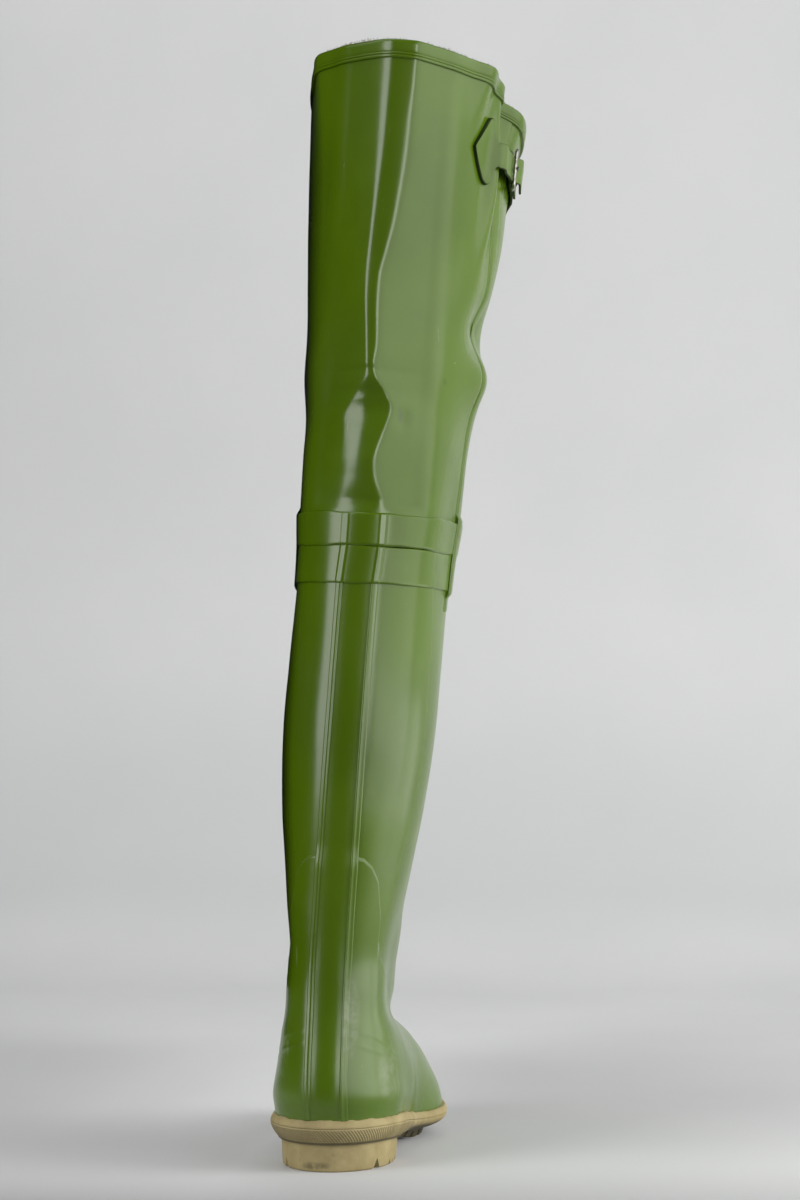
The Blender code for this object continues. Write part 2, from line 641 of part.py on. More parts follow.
SPADE_SHARES = (0.0, 0.04, 0.30, 0.62, 0.74, 0.82, 0.90, 1.0)
SPADE_HALVES = (0.06, 0.14, 0.56, 0.97, 1.00, 0.80, 0.52, STRAP_HALF / SPADE_HALF)


def spade_half(share):
    """Half height of the patch, from its tip 0 to its neck 1."""
    return SPADE_HALF * np.interp(share, SPADE_SHARES, SPADE_HALVES)


def strap_object(name, runs, offsets, halves, side):
    heights = np.linspace(-1, 1, 3)
    points = []
    for share in heights:
        points.append(strap_points(np.array(runs), share * np.array(halves), np.array(offsets)))
    item = grid_object(name, np.array(points), RUBBER)
    add_wall(item, STRAP_THICKNESS, side)
    return item


def build_straps():
    spade = np.array(SPADE_SHARES)
    rear_runs = list(REAR_TIP + SPADE_LENGTH * spade)
    free = ((-40.0, 1.0), (-28.0, 1.1), (-18.0, 1.5), (-13.0, 1.9), (-9.0, 3.1), (-4.0, 6.3), (0.0, 7.7),
            (4.0, 7.8), (8.0, 7.5), (STRAP_END, 7.2))
    runs = rear_runs + [run for run, offset in free]
    offsets = [3 * GAP] * len(rear_runs) + [offset for run, offset in free]
    halves = list(spade_half(spade)) + [STRAP_HALF] * len(free)
    rear = strap_object("strap_rear", runs, offsets, halves, 1)
    add_cut(rear, box_cutter("prong_slot", [(strap_frame(-4.0, 0.0, 6.0), (11.0, 2.8, 8.0))]))

    front_runs = list(FRONT_TIP - SPADE_LENGTH * spade)
    flat = 2 * GAP + STRAP_THICKNESS / 2
    path = [(front_runs[-1] - 8, flat), (16.0, flat), (6.0, flat)]
    for angle in range(-90, -290, -30):
        turn = math.radians(angle)
        path.append((LOOP_RADIUS * math.cos(turn), HINGE_OFFSET + 0.1 + LOOP_RADIUS * math.sin(turn)))
    path += [(4.0, 5.0), (7.5, 3.5), (11.0, flat + STRAP_THICKNESS + GAP), (20.0, flat + STRAP_THICKNESS + GAP)]
    runs = front_runs + [run for run, offset in path]
    offsets = [flat] * len(front_runs) + [offset for run, offset in path]
    halves = list(spade_half(spade)) + [STRAP_HALF] * len(path)
    front = strap_object("strap_front", runs, offsets, halves, 0)
    add_cut(front, box_cutter("loop_slot", [(strap_frame(0.0, 0.0, 4.0), (12.0, 3.6, 10.0))]))


def wire(name, places, cyclic, radius):
    """A bent wire through strap places (run, height, offset)."""
    data = bpy.data.curves.new(name, "CURVE")
    data.dimensions = "3D"
    data.bevel_depth = radius * MM
    data.bevel_resolution = 1
    data.use_fill_caps = not cyclic
    line = data.splines.new("POLY")
    line.points.add(len(places) - 1)
    line.use_cyclic_u = cyclic
    for point, (run, height, offset) in zip(line.points, places):
        point.co = (*(Vector(strap_points([run], [height], offset)[0]) * MM), 1.0)
    return add_object(name, data, STEEL_WIRE)


def build_buckle():
    corner = 2.2
    places = []
    corners = ((0.0, HINGE_OFFSET, 1, 1), (FAR_BAR, FAR_OFFSET, -1, 1), (FAR_BAR, FAR_OFFSET, -1, -1),
               (0.0, HINGE_OFFSET, 1, -1))
    for index, (run, offset, ahead, up) in enumerate(corners):
        start = 0 if index == 0 else 90 if index == 1 else 180 if index == 2 else 270
        for step in (0, 30, 60, 90):
            angle = math.radians(start + step)
            height = up * (FRAME_HALF - corner) + corner * math.sin(angle)
            places.append((run - ahead * corner + corner * math.cos(angle), height, offset))
    wire("buckle_frame", places, True, WIRE_RADIUS)
    eye = WIRE_RADIUS + GAP + PRONG_RADIUS
    prong = []
    for angle in range(-150, 91, 30):
        turn = math.radians(angle)
        prong.append((eye * math.cos(turn), 0.0, HINGE_OFFSET + eye * math.sin(turn)))
    prong += [(-5.0, 0.0, 6.3), (FAR_BAR, 0.0, FAR_OFFSET + eye + 0.1), (FAR_BAR - 2.5, 0.0, FAR_OFFSET + eye)]
    wire("buckle_prong", prong, False, PRONG_RADIUS)


def settle_origin():
    """Moves the whole so that the middle of its foot is at the origin."""
    bpy.context.view_layer.update()
    graph = bpy.context.evaluated_depsgraph_get()
    corners = []
    for item in PARTS.objects:
        if item.type != "EMPTY":
            solid = item.evaluated_get(graph)
            mesh = solid.to_mesh()
            corners += [solid.matrix_world @ vert.co for vert in mesh.vertices]
            solid.to_mesh_clear()
    low = [min(corner[axis] for corner in corners) for axis in range(3)]
    high = [max(corner[axis] for corner in corners) for axis in range(3)]
    ROOT.location = (-(low[0] + high[0]) / 2, -(low[1] + high[1]) / 2, -low[2])


clear_scene()
PARTS = bpy.data.collections.new("rubber_thigh_boot")
CUTTERS = bpy.data.collections.new("cutters")
bpy.context.scene.collection.children.link(PARTS)
bpy.context.scene.collection.children.link(CUTTERS)
CUTTERS.hide_render = True
ROOT = bpy.data.objects.new("boot", None)
PARTS.objects.link(ROOT)

RUBBER = make_material("green_rubber", GREEN, 0.35)
SOFT_RUBBER = make_material("green_thigh_rubber", GREEN, 0.40)
SOLE_RUBBER = make_material("tan_rubber", TAN, 0.70)
LINING = make_material("footbed_fabric", FABRIC, 0.90)
STEEL_WIRE = make_material("buckle_steel", STEEL, 0.30, 1.0)

build_shells()
build_sole()
build_foxing()
build_bands()
build_binding()
build_counter()
build_stay()
build_seams()
build_straps()
build_buckle()
settle_origin()
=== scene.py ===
# %% [markdown]
# # A rubber thigh boot
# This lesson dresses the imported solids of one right-foot thigh boot. The solids already have the right
# sizes and places, but they are coarse and plain. Painted as they are, they would make soft rubber look
# like a hard casting. So each of them gets a finer skin here, with the folds of soft rubber and a finish
# made from noise and shape.

# %% Load the frame
import json
import math
from collections import namedtuple

import bmesh
import bpy
import numpy as np
from mathutils import Matrix, Vector


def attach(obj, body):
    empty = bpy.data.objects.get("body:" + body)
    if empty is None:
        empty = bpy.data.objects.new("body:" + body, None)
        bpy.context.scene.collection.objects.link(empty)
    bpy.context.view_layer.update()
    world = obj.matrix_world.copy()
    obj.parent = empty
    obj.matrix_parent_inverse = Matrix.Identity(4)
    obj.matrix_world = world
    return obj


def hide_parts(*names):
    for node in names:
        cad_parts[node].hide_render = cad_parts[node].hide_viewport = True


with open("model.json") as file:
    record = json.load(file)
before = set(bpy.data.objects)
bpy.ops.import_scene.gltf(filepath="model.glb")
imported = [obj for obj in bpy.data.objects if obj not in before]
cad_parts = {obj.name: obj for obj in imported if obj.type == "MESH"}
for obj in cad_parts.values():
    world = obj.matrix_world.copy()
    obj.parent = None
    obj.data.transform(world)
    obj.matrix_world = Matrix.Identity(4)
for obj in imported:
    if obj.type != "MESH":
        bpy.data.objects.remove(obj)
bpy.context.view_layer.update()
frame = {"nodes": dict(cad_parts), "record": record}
MM = 0.001

# %% [markdown]
# The boot was worked out in its own millimetres, with the heel's middle at zero, the toe along +Y and the
# outer side along +X. The frame has its zero under the middle of the whole boot. The shift could be typed
# in, but the record keeps the place of the heel's floor mount, so it is read from there.

# %% Place of the boot in the frame
HEEL_MOUNT_Y = 39.5
heel_mount = next(mount for mount in frame["record"]["mounts"] if mount["name"] == "heel_floor")
SHIFT = np.array(heel_mount["pos_m"]) - np.array((0.0, HEEL_MOUNT_Y * MM, 0.0))
print("shift:", SHIFT.round(4))

# %% [markdown]
# A boot is a stack of sections, as a last maker draws it. First come the sizes that the whole boot hangs
# on: the length of the foot, the heights of knee and collar, the thickness of the walls, and how far the
# leg leans and tilts. With names, each can be changed in one place.

# %% Main sizes
FOOT_LENGTH = 302.0
BALL_WIDTH = 103.0
INSTEP_HEIGHT = 106.0
HEEL_SEAT = 30.5
HEEL_BACK = 3.0
KNEE_HEIGHT = 431.0
COLLAR_HEIGHT = 776.0
UPPER_WALL = 2.4
THIGH_WALL = 1.7
GAP = 0.3
LEAN, LEAN_START, LEAN_EASE = 0.082, 128.0, 30.0
TILT, THIGH_TILT, THIGH_TILT_START = 0.05, 0.045, 600.0
DIP_START = 0.2
print("boot height:", COLLAR_HEIGHT, "mm, foot length:", FOOT_LENGTH, "mm")

# %% [markdown]
# Each row of this table is one section of the foot: how high its back and front stand, where it ends, and
# how full it is at six stations from the back round to the front. Sculpting could give the same foot, but
# a table is easy to read and to mend. These rows also shaped the solids.

# %% Sections of the foot
WIDTH_STATIONS = (0.0, 0.15, 0.42, 0.68, 0.88, 1.0)
FootSection = namedtuple(
    "FootSection", "name back_rise front_rise inset reach sag crest heel waist ball toe tip")
FOOT_SECTIONS = (
    FootSection("feather", 0.00, 0.00, 0.0, 0.993, 1.00, 1.36, 1.14, 0.71, 1.06, 1.14, 1.28),
    FootSection("edge", 0.07, 0.07, 0.0, 0.993, 1.00, 1.36, 1.14, 0.71, 1.06, 1.14, 1.28),
    FootSection("bulge", 0.47, 0.43, -2.5, 1.000, 0.65, 1.36, 1.17, 0.75, 0.99, 1.08, 1.17),
    FootSection("toe top", 0.62, 0.57, -2.0, 0.957, 0.30, 1.28, 1.10, 0.76, 0.83, 0.93, 0.97),
    FootSection("low vamp", 0.755, 0.68, 0.0, 0.868, 0.0, 1.20, 1.03, 0.73, 0.69, 0.72, 0.74),
    FootSection("vamp", 0.88, 0.83, 2.5, 0.755, 0.0, 1.15, 0.97, 0.69, 0.58, 0.51, 0.53),
    FootSection("instep", 1.00, 1.00, 4.5, 0.656, 0.0, 1.09, 0.90, 0.645, 0.58, 0.54, 0.56),
    FootSection("ankle", 1.15, 1.23, 6.0, 0.576, 0.0, 1.03, 0.86, 0.635, 0.63, 0.61, 0.63),
)
print("foot sections:", len(FOOT_SECTIONS))

# %% [markdown]
# The leg and thigh go on in the same way, but with heights in millimetres and a half width for each
# section. Behind the knee the sections are pinched, because the soft shaft has been folded there.

# %% Sections of the leg and thigh
LegSection = namedtuple(
    "LegSection", "name height front_rise dip back front half_width crest heel waist toe tip")
LEG_SECTIONS = (
    LegSection("throat", 145.0, 15.0, 0.0, 9.0, 158.0, 34.8, 1.32, 1.19, 1.00, 0.93, 0.91),
    LegSection("above ankle", 175.0, 15.0, 0.0, 8.0, 148.0, 40.5, 1.22, 1.10, 1.00, 0.95, 0.95),
    LegSection("low calf", 210.0, 12.0, 0.0, 5.0, 143.5, 45.6, 1.08, 1.02, 1.00, 0.98, 0.97),
    LegSection("calf", 250.0, 8.0, 0.0, 1.0, 142.0, 50.2, 1.00, 1.00, 1.00, 1.00, 1.00),
    LegSection("high calf", 300.0, 4.0, 0.0, -2.0, 143.0, 54.0, 1.00, 1.00, 0.99, 1.00, 1.00),
    LegSection("below knee", 350.0, 2.0, 0.0, -4.0, 145.0, 54.7, 1.00, 0.99, 0.97, 1.00, 1.00),
    LegSection("knee", 400.0, 1.0, 0.0, -4.5, 147.0, 55.3, 0.98, 0.98, 0.94, 1.00, 1.00),
    LegSection("joint", KNEE_HEIGHT, 0.5, 0.0, -5.0, 148.5, 58.0, 0.95, 0.96, 0.89, 1.00, 1.00),
    LegSection("above bands", 456.0, 0.0, 0.0, -5.5, 150.0, 60.0, 0.90, 0.96, 0.89, 1.00, 1.00),
    LegSection("hollow", 497.0, 0.0, 0.0, -7.0, 158.0, 60.4, 0.85, 0.94, 0.92, 0.98, 0.95),
    LegSection("diamond", 525.0, 0.0, 0.0, -3.0, 165.0, 62.2, 1.05, 0.91, 0.91, 0.95, 0.90),
    LegSection("pinch", 554.0, -1.0, 0.0, -12.0, 171.0, 65.6, 0.46, 0.80, 0.90, 0.92, 0.80),
    LegSection("crest", 582.0, -2.0, 0.0, -16.0, 177.0, 64.6, 0.48, 0.77, 0.93, 0.90, 0.75),
    LegSection("low thigh", 614.0, -3.0, 3.0, -18.0, 184.0, 65.0, 0.60, 0.77, 0.97, 0.88, 0.70),
    LegSection("thigh", 672.0, -6.0, 12.0, -20.0, 197.0, 69.6, 0.82, 0.79, 0.97, 0.86, 0.66),
    LegSection("high thigh", 730.0, -8.0, 28.0, -21.0, 207.0, 74.0, 0.88, 0.81, 0.97, 0.85, 0.65),
    LegSection("collar", COLLAR_HEIGHT, -10.0, 42.0, -21.0, 213.0, 77.0, 0.90, 0.83, 0.97, 0.85, 0.65),
)
print("leg sections:", len(LEG_SECTIONS))

# %% [markdown]
# Soft rubber keeps the dents and pleats that wear and storage have pressed in. Each is a smooth push at
# one turn and height, which fades with distance. Pushes are quicker to place than loop cuts, and they can
# overlap. Some of them are finer here than in the solids. The strap bridges the side pleat, so that one
# is marked.

# %% Folds and dents
Fold = namedtuple("Fold", "name turn height depth width reach bridged")
FOLDS = (
    Fold("side pleat", 83.0, 792.0, -16.0, 14.0, 100.0, True),
    Fold("strap hollow", 98.0, 720.0, -6.0, 24.0, 40.0, False),
    Fold("rear flat", 67.0, 752.0, -6.5, 20.0, 62.0, False),
    Fold("side dent", 92.0, 594.0, -8.5, 26.0, 20.0, False),
    Fold("side bulge", 92.0, 558.0, 5.5, 26.0, 18.0, False),
    Fold("inner rear corner", -58.0, 790.0, 6.0, 20.0, 75.0, False),
    Fold("outer rear corner", 60.0, 790.0, 8.5, 15.0, 50.0, False),
    Fold("outer ankle hollow", 72.0, 108.0, -2.4, 24.0, 16.0, False),
    Fold("inner ankle hollow", -72.0, 106.0, -1.6, 24.0, 16.0, False),
    Fold("outer throat", 116.0, 100.0, -8.0, 40.0, 8.0, False),
    Fold("outer shin", 108.0, 146.0, 2.6, 34.0, 18.0, False),
    Fold("outer ball", 118.0, 38.0, 2.6, 34.0, 18.0, False),
    Fold("outer waist", 76.0, 50.0, 6.5, 30.0, 40.0, False),
    Fold("rear edge of the pleat", 74.5, 704.0, 6.0, 9.0, 52.0, False),
    Fold("front edge of the pleat", 102.0, 690.0, 1.4, 20.0, 55.0, False),
)
print("folds:", len(FOLDS))

# %% [markdown]
# Seen from the side, the sole has a heel seat, a waist, a ball that rests on the floor and a toe that
# springs up. Seen from above, it bows outward and comes back in at the toe, as a right foot does. Both
# are short tables by share of the foot's length, which is simpler than bending a finished sole.

# %% Line of the sole
SoleStation = namedtuple("SoleStation", "share top under")
SOLE_STATIONS = (
    SoleStation(0.00, HEEL_SEAT, HEEL_SEAT - 11.5),
    SoleStation(0.14, HEEL_SEAT - 0.5, HEEL_SEAT - 12.0),
    SoleStation(0.28, HEEL_SEAT - 4.0, HEEL_SEAT - 15.5),
    SoleStation(0.40, 21.5, 10.0),
    SoleStation(0.50, 18.2, 4.5),
    SoleStation(0.61, 16.0, 0.0),
    SoleStation(0.70, 16.0, 0.0),
    SoleStation(0.78, 17.0, 0.0),
    SoleStation(0.90, 20.8, 3.5),
    SoleStation(1.00, 27.0, 11.5),
)
BOW_SHARES = (0.0, 0.3, 0.62, 0.8, 1.0)
BOW_SHIFTS = (0.0, 1.5, 4.0, 0.5, -8.0)
BOW_TOP, BOW_FADE = 170.0, 90.0
print("sole stations:", len(SOLE_STATIONS))

# %% [markdown]
# Between the rows of a table the form has to run smoothly. Blender's curves could do that, but a small
# cubic reader works on whole arrays at once, which keeps the script quick. It takes its slopes from the
# neighbouring values.

# %% Smooth curves through tables
def smooth(x, knots, values, flat_ends=False):
    """Reads a cubic through values at the knots; values may hold a row for each x."""
    knots = np.asarray(knots, float)
    x = np.clip(np.atleast_1d(np.asarray(x, float)), knots[0], knots[-1])
    values = np.broadcast_to(np.asarray(values, float), (len(x), len(knots)))
    slopes = np.gradient(values, knots, axis=1)
    if flat_ends:
        slopes[:, 0] = 0.0
        slopes[:, -1] = 0.0
    cell = np.clip(np.searchsorted(knots, x, side="right") - 1, 0, len(knots) - 2)
    rows = np.arange(len(x))
    span = knots[cell + 1] - knots[cell]
    s = (x - knots[cell]) / span
    here, there = values[rows, cell], values[rows, cell + 1]
    out, into = slopes[rows, cell] * span, slopes[rows, cell + 1] * span
    bend = 3 * (there - here) - 2 * out - into
    curl = 2 * (here - there) + out + into
    return here + s * out + s**2 * bend + s**3 * curl


SOLE_SHARES = [station.share for station in SOLE_STATIONS]


def sole_top(y):
    return smooth(np.asarray(y) / FOOT_LENGTH, SOLE_SHARES, [station.top for station in SOLE_STATIONS])


def sole_under(y):
    under = smooth(np.asarray(y) / FOOT_LENGTH, SOLE_SHARES, [station.under for station in SOLE_STATIONS])
    return np.maximum(under, 0.0)


print("toe of the sole, top and under:", sole_top(FOOT_LENGTH).round(1), sole_under(FOOT_LENGTH).round(1))

# %% [markdown]
# Both tables now become one list of sections in millimetres, from the sole's edge to the collar. A level
# counts along this list, and fractions of a level lie between two sections. A finer list leads from
# heights back to levels, because the pieces are placed by height.

# %% Sections in millimetres
Section = namedtuple("Section", "back_z front_z back front sag dip crest heel waist ball toe tip")


def build_sections():
    """Turns both tables into one list of sections in millimetres, from the sole's edge to the collar."""
    half = BALL_WIDTH / 2
    sections = []
    for row in FOOT_SECTIONS:
        back = HEEL_BACK + row.inset
        front = FOOT_LENGTH * row.reach
        back_z, front_z = row.back_rise * INSTEP_HEIGHT, row.front_rise * INSTEP_HEIGHT
        if row.sag == 1.0:
            back_z += float(sole_top(back)[0]) + GAP
            front_z += float(sole_top(front)[0]) + GAP
        widths = (half * share for share in (row.crest, row.heel, row.waist, row.ball, row.toe, row.tip))
        sections.append(Section(back_z, front_z, back, front, row.sag, 0.0, *widths))
    for row in LEG_SECTIONS:
        shares = (row.crest, row.heel, row.waist, 1.0, row.toe, row.tip)
        widths = (row.half_width * share for share in shares)
        front_z = row.height + row.front_rise
        sections.append(Section(row.height, front_z, row.back, row.front, 0.0, row.dip, *widths))
    return sections


SECTIONS = build_sections()
TOP_LEVEL = len(SECTIONS) - 1
FIRST_WIDTH = Section._fields.index("crest")
STATION_TURNS = [math.acos(1 - 2 * share) for share in WIDTH_STATIONS]
STEPS_PER_LEVEL = 40


def section_at(level):
    columns = zip(*SECTIONS)
    return Section(*(smooth(level, range(len(SECTIONS)), column) for column in columns))


FINE_LEVELS = np.linspace(0, TOP_LEVEL, STEPS_PER_LEVEL * TOP_LEVEL + 1)
FINE_HEIGHTS = section_at(FINE_LEVELS).back_z


def level_at(height):
    """The level whose section stands at this height at the back."""
    return np.interp(height, FINE_HEIGHTS, FINE_LEVELS)


print("levels:", TOP_LEVEL + 1, "knee at level:", round(float(level_at(KNEE_HEIGHT)), 2))

# %% [markdown]
# Seen from above, a section is an outline. The folds are pushed along the outline's outward direction, so
# a pleat goes straight into the skin wherever it is. A Displace modifier could do this too, but here the
# same outline also has to carry the overlays.

# %% Outline and folds of a section
def plain_plan(section, turn):
    """The section's outline from above, before folds and lean."""
    along = (1 - np.cos(turn)) / 2
    widths = np.stack(section[FIRST_WIDTH:], axis=1)
    around = np.abs((turn + math.pi) % (2 * math.pi) - math.pi)
    x = np.sin(turn) * smooth(around, STATION_TURNS, widths, flat_ends=True)
    return x, section.back + (section.front - section.back) * along


def outward(plan, section, turn, step=0.004):
    """The outline's outward direction and its length for one radian of turn."""
    ahead, behind = plan(section, turn + step), plan(section, turn - step)
    run_x, run_y = (ahead[0] - behind[0]) / (2 * step), (ahead[1] - behind[1]) / (2 * step)
    speed = np.hypot(run_x, run_y)
    return run_y / speed, -run_x / speed, speed


def pressed_plan(section, turn, folds):
    """The same outline with soft folds pressed into it."""
    x, y = plain_plan(section, turn)
    out_x, out_y, speed = outward(plain_plan, section, turn)
    push = np.zeros(len(turn))
    for fold in folds:
        across = (turn - math.radians(fold.turn)) * speed / fold.width
        up = (section.back_z - fold.height) / fold.reach
        push += fold.depth * np.exp(-across**2 - up**2)
    return x + out_x * push, y + out_y * push


def folded_plan(section, turn):
    return pressed_plan(section, turn, FOLDS)


def bridged_plan(section, turn):
    return pressed_plan(section, turn, [fold for fold in FOLDS if not fold.bridged])


print("folds that the strap bridges:", sum(fold.bridged for fold in FOLDS))

# %% [markdown]
# One function then gives any point of the boot's outside, by its level in the stack, its turn from the
# back round to the outer side, and its offset outward. It adds the sole's line, the dip of the collar,
# the lean of the leg and the bow of the foot. Every overlay is cut from this same function, so nothing
# floats or sinks in.

# %% The surface of the boot
def lean_at(height):
    """How far the leg's middle has moved to the outer side at this height."""
    rise = height - LEAN_START
    return LEAN * (rise + np.hypot(rise, LEAN_EASE)) / 2


def surface(level, turn, offset=0.0, folded=True):
    """Points of the boot's outside in millimetres, moved outward by the offset."""
    level, turn, offset = np.broadcast_arrays(np.asarray(level, float), turn, offset)
    shape = level.shape
    level, turn, offset = level.ravel(), turn.ravel(), offset.ravel()
    section = section_at(level)
    plan = folded_plan if folded else bridged_plan
    x, y = plan(section, turn)
    along = (1 - np.cos(turn)) / 2
    chord = sole_top(section.back) + (sole_top(section.front) - sole_top(section.back)) * along
    z = section.back_z + (section.front_z - section.back_z) * along + section.sag * (sole_top(y) - chord)
    low = np.clip((along - DIP_START) / (1 - DIP_START), 0, 1)
    z = z - section.dip * low * low * (3 - 2 * low)
    out_x, out_y = outward(plan, section, turn)[:2]
    x, y = x + out_x * offset, y + out_y * offset
    rise = section.back_z - LEAN_START
    thigh = np.clip((section.back_z - THIGH_TILT_START) / (COLLAR_HEIGHT - THIGH_TILT_START), 0, 1)
    z = z - x * (TILT * (1 + rise / np.hypot(rise, LEAN_EASE)) / 2 + THIGH_TILT * thigh)
    bow_share = np.clip((BOW_TOP - section.back_z) / BOW_FADE, 0, 1)
    x = x + smooth(y / FOOT_LENGTH, BOW_SHARES, BOW_SHIFTS) * bow_share + lean_at(section.back_z)
    return np.stack((x, y, z), axis=-1).reshape(shape + (3,))


print("collar back:", surface(TOP_LEVEL, 0.0).round(1))

# %% [markdown]
# The photo was taken from about two metres, a little to the outer side of the heel and at the height of
# the calf. The camera stands there and is turned until this one boot fills the frame. A lens shift could
# centre the boot too, but it would stay in the other views, so none is used.

# %% Camera
LENS = 86.94
SENSOR = 36.0
CAMERA_PLACE = (321.0, -1974.3, 311.0)
AIM_RIGHT, AIM_UP = 0.0397, 0.0414
VIEW_AZIMUTH = math.radians(10.0)


def to_frame(points):
    """Boot millimetres to frame metres."""
    return np.asarray(points, float) * MM + SHIFT


def put_in_scene(name, data):
    """A new object with this data, in the scene."""
    item = bpy.data.objects.new(name, data)
    bpy.context.scene.collection.objects.link(item)
    return item


camera_data = bpy.data.cameras.new("camera")
camera_data.lens = LENS
camera_data.sensor_fit = "VERTICAL"
camera_data.sensor_height = SENSOR
camera = put_in_scene("camera", camera_data)
camera.location = to_frame(CAMERA_PLACE)
view_right = Vector((math.cos(VIEW_AZIMUTH), math.sin(VIEW_AZIMUTH), 0.0))
view_ahead = Vector((-math.sin(VIEW_AZIMUTH), math.cos(VIEW_AZIMUTH), 0.0))
look = view_ahead + AIM_RIGHT * view_right + AIM_UP * Vector((0, 0, 1))
camera.rotation_euler = look.to_track_quat("-Z", "Y").to_euler()
bpy.context.scene.camera = camera
bpy.context.scene.view_settings.view_transform = "Standard"
print("camera:", [round(v, 3) for v in camera.location])

# %% [markdown]
# Glossy rubber shows the lamps as much as it shows itself. A tall soft box to the right of the camera and
# a low lamp at the side only shine, and a fill at the right only colours, because gloss and colour need
# different places here. Broad panels light the outer side, a box to the left draws a stripe, and a lamp
# overhead lights the sweep. A picture of a studio could light it all at once, but then no lamp could be
# moved alone.

# %% Lights
Lamp = namedtuple("Lamp", "name bearing distance height width tall power aim diffuse glossy")
LAMPS = (
    Lamp("right box", 31.0, 2300.0, 520.0, 760.0, 1800.0, 28.0, 420.0, False, True),
    Lamp("side panel", 76.0, 2000.0, 1000.0, 2700.0, 3000.0, 47.0, 420.0, True, True),
    Lamp("right fill", 88.0, 2000.0, 900.0, 1200.0, 1200.0, 33.0, 420.0, True, False),
    Lamp("far panel", 130.0, 2000.0, 1000.0, 1700.0, 3000.0, 12.0, 420.0, True, True),
    Lamp("left box", -48.0, 1900.0, 900.0, 1150.0, 1800.0, 31.0, 420.0, True, True),
)
SWEEP_LAMP_PLACE, SWEEP_LAMP_AIM = (-900.0, 500.0, 2600.0), (-300.0, 1900.0, 900.0)
SWEEP_LAMP_SIZE, SWEEP_LAMP_POWER = 2.4, 33.0
GLOW_PLACE, GLOW_AIM, GLOW_SIZE, GLOW_POWER = (820.0, 0.0, 130.0), (20.0, 60.0, 130.0), (1.5, 0.26), 2.0
WORLD_GREY, WORLD_STRENGTH = (0.80, 0.82, 0.84, 1.0), 0.04
LEG_MIDDLE = np.array((20.0, 60.0, 0.0))


def add_lamp(name, place, aim, width, tall, power):
    data = bpy.data.lights.new(name, "AREA")
    data.shape = "RECTANGLE"
    data.size = width
    data.size_y = tall
    data.energy = power
    lamp = put_in_scene(name, data)
    lamp.location = to_frame(place)
    direction = Vector(to_frame(aim) - to_frame(place))
    lamp.rotation_euler = direction.to_track_quat("-Z", "Y").to_euler()
    return lamp


for row in LAMPS:
    bearing = math.radians(row.bearing)
    place = LEG_MIDDLE + row.distance * np.array((math.sin(bearing), -math.cos(bearing), 0.0))
    place[2] = row.height
    aim = LEG_MIDDLE + np.array((0.0, 0.0, row.aim))
    lamp = add_lamp(row.name, place, aim, row.width * MM, row.tall * MM, row.power)
    lamp.visible_diffuse = row.diffuse
    lamp.visible_glossy = row.glossy
glow = add_lamp("low side glow", GLOW_PLACE, GLOW_AIM, *GLOW_SIZE, GLOW_POWER)
glow.visible_diffuse = False
add_lamp("sweep lamp", SWEEP_LAMP_PLACE, SWEEP_LAMP_AIM, SWEEP_LAMP_SIZE, SWEEP_LAMP_SIZE, SWEEP_LAMP_POWER)
world = bpy.data.worlds.new("studio")
bpy.context.scene.world = world
world.use_nodes = True
world.node_tree.nodes["Background"].inputs["Color"].default_value = WORLD_GREY
world.node_tree.nodes["Background"].inputs["Strength"].default_value = WORLD_STRENGTH
print("lamps:", len(LAMPS) + 2)

# %% [markdown]
# Finishes are small graphs of shader nodes. They could be wired by hand, one link at a time, but written
# as expressions they stay short. This class wraps a socket, and each sum or product of wires adds a Math
# node. Every other node comes from one method.

# %% Wires for shader nodes
class Wire:
    """A shader socket with arithmetic."""

    def __init__(self, tree, socket=None):
        self.tree = tree
        self.socket = socket

    def node(self, kind, settings=None, inputs=None, output=0):
        """Adds a node: its settings come first, then values or wires for its sockets."""
        made = self.tree.nodes.new("ShaderNode" + kind)
        for key, value in (settings or {}).items():
            setattr(made, key, value)
        for key, value in (inputs or {}).items():
            if isinstance(value, Wire):
                self.tree.links.new(value.socket, made.inputs[key])
            else:
                made.inputs[key].default_value = value
        return Wire(self.tree, made.outputs[output])

    def math(self, operation, first, second=0.0):
        return self.node("Math", {"operation": operation}, {0: first, 1: second})

    def __add__(self, other):
        return self.math("ADD", self, other)

    def __sub__(self, other):
        return self.math("SUBTRACT", self, other)

    def __rsub__(self, other):
        return self.math("SUBTRACT", other, self)

    def __mul__(self, other):
        return self.math("MULTIPLY", self, other)

    __radd__ = __add__
    __rmul__ = __mul__

    def sine(self):
        return self.math("SINE", self)

    def step(self, low, high):
        """Rises smoothly from 0 to 1 between two values."""
        settings = {"interpolation_type": "SMOOTHSTEP"}
        return self.node("MapRange", settings, {0: self, 1: low, 2: high, 3: 0.0, 4: 1.0})

    def between(self, rise, fall):
        """Rises over one pair of values and falls over another."""
        return self.step(*rise) * (1 - self.step(*fall))

    def blend(self, first, second):
        """A colour that goes from the first to the second as this wire goes from 0 to 1."""
        settings = {"data_type": "RGBA"}
        return self.node("Mix", settings, {0: self, 6: first, 7: second}, output=2)


print("wires ready")

# %% [markdown]
# A few helpers are shared by all finishes: a new material with its shader, the sockets that every finish
# feeds, and the places and noises that patterns start from. Image textures would need files and a UV map
# for each piece. Noise on Object coordinates needs neither, and keeps its size on every piece.

# %% Helpers for finishes
def colour(red, green, blue):
    return (red, green, blue, 1.0)


def new_material(name, metallic=0.0, specular=0.5):
    """A material's shader and a wire that starts its graph."""
    material = bpy.data.materials.new(name)
    material.use_nodes = True
    shader = material.node_tree.nodes["Principled BSDF"]
    shader.inputs["Metallic"].default_value = metallic
    shader.inputs["Specular IOR Level"].default_value = specular
    return material, shader, Wire(material.node_tree)


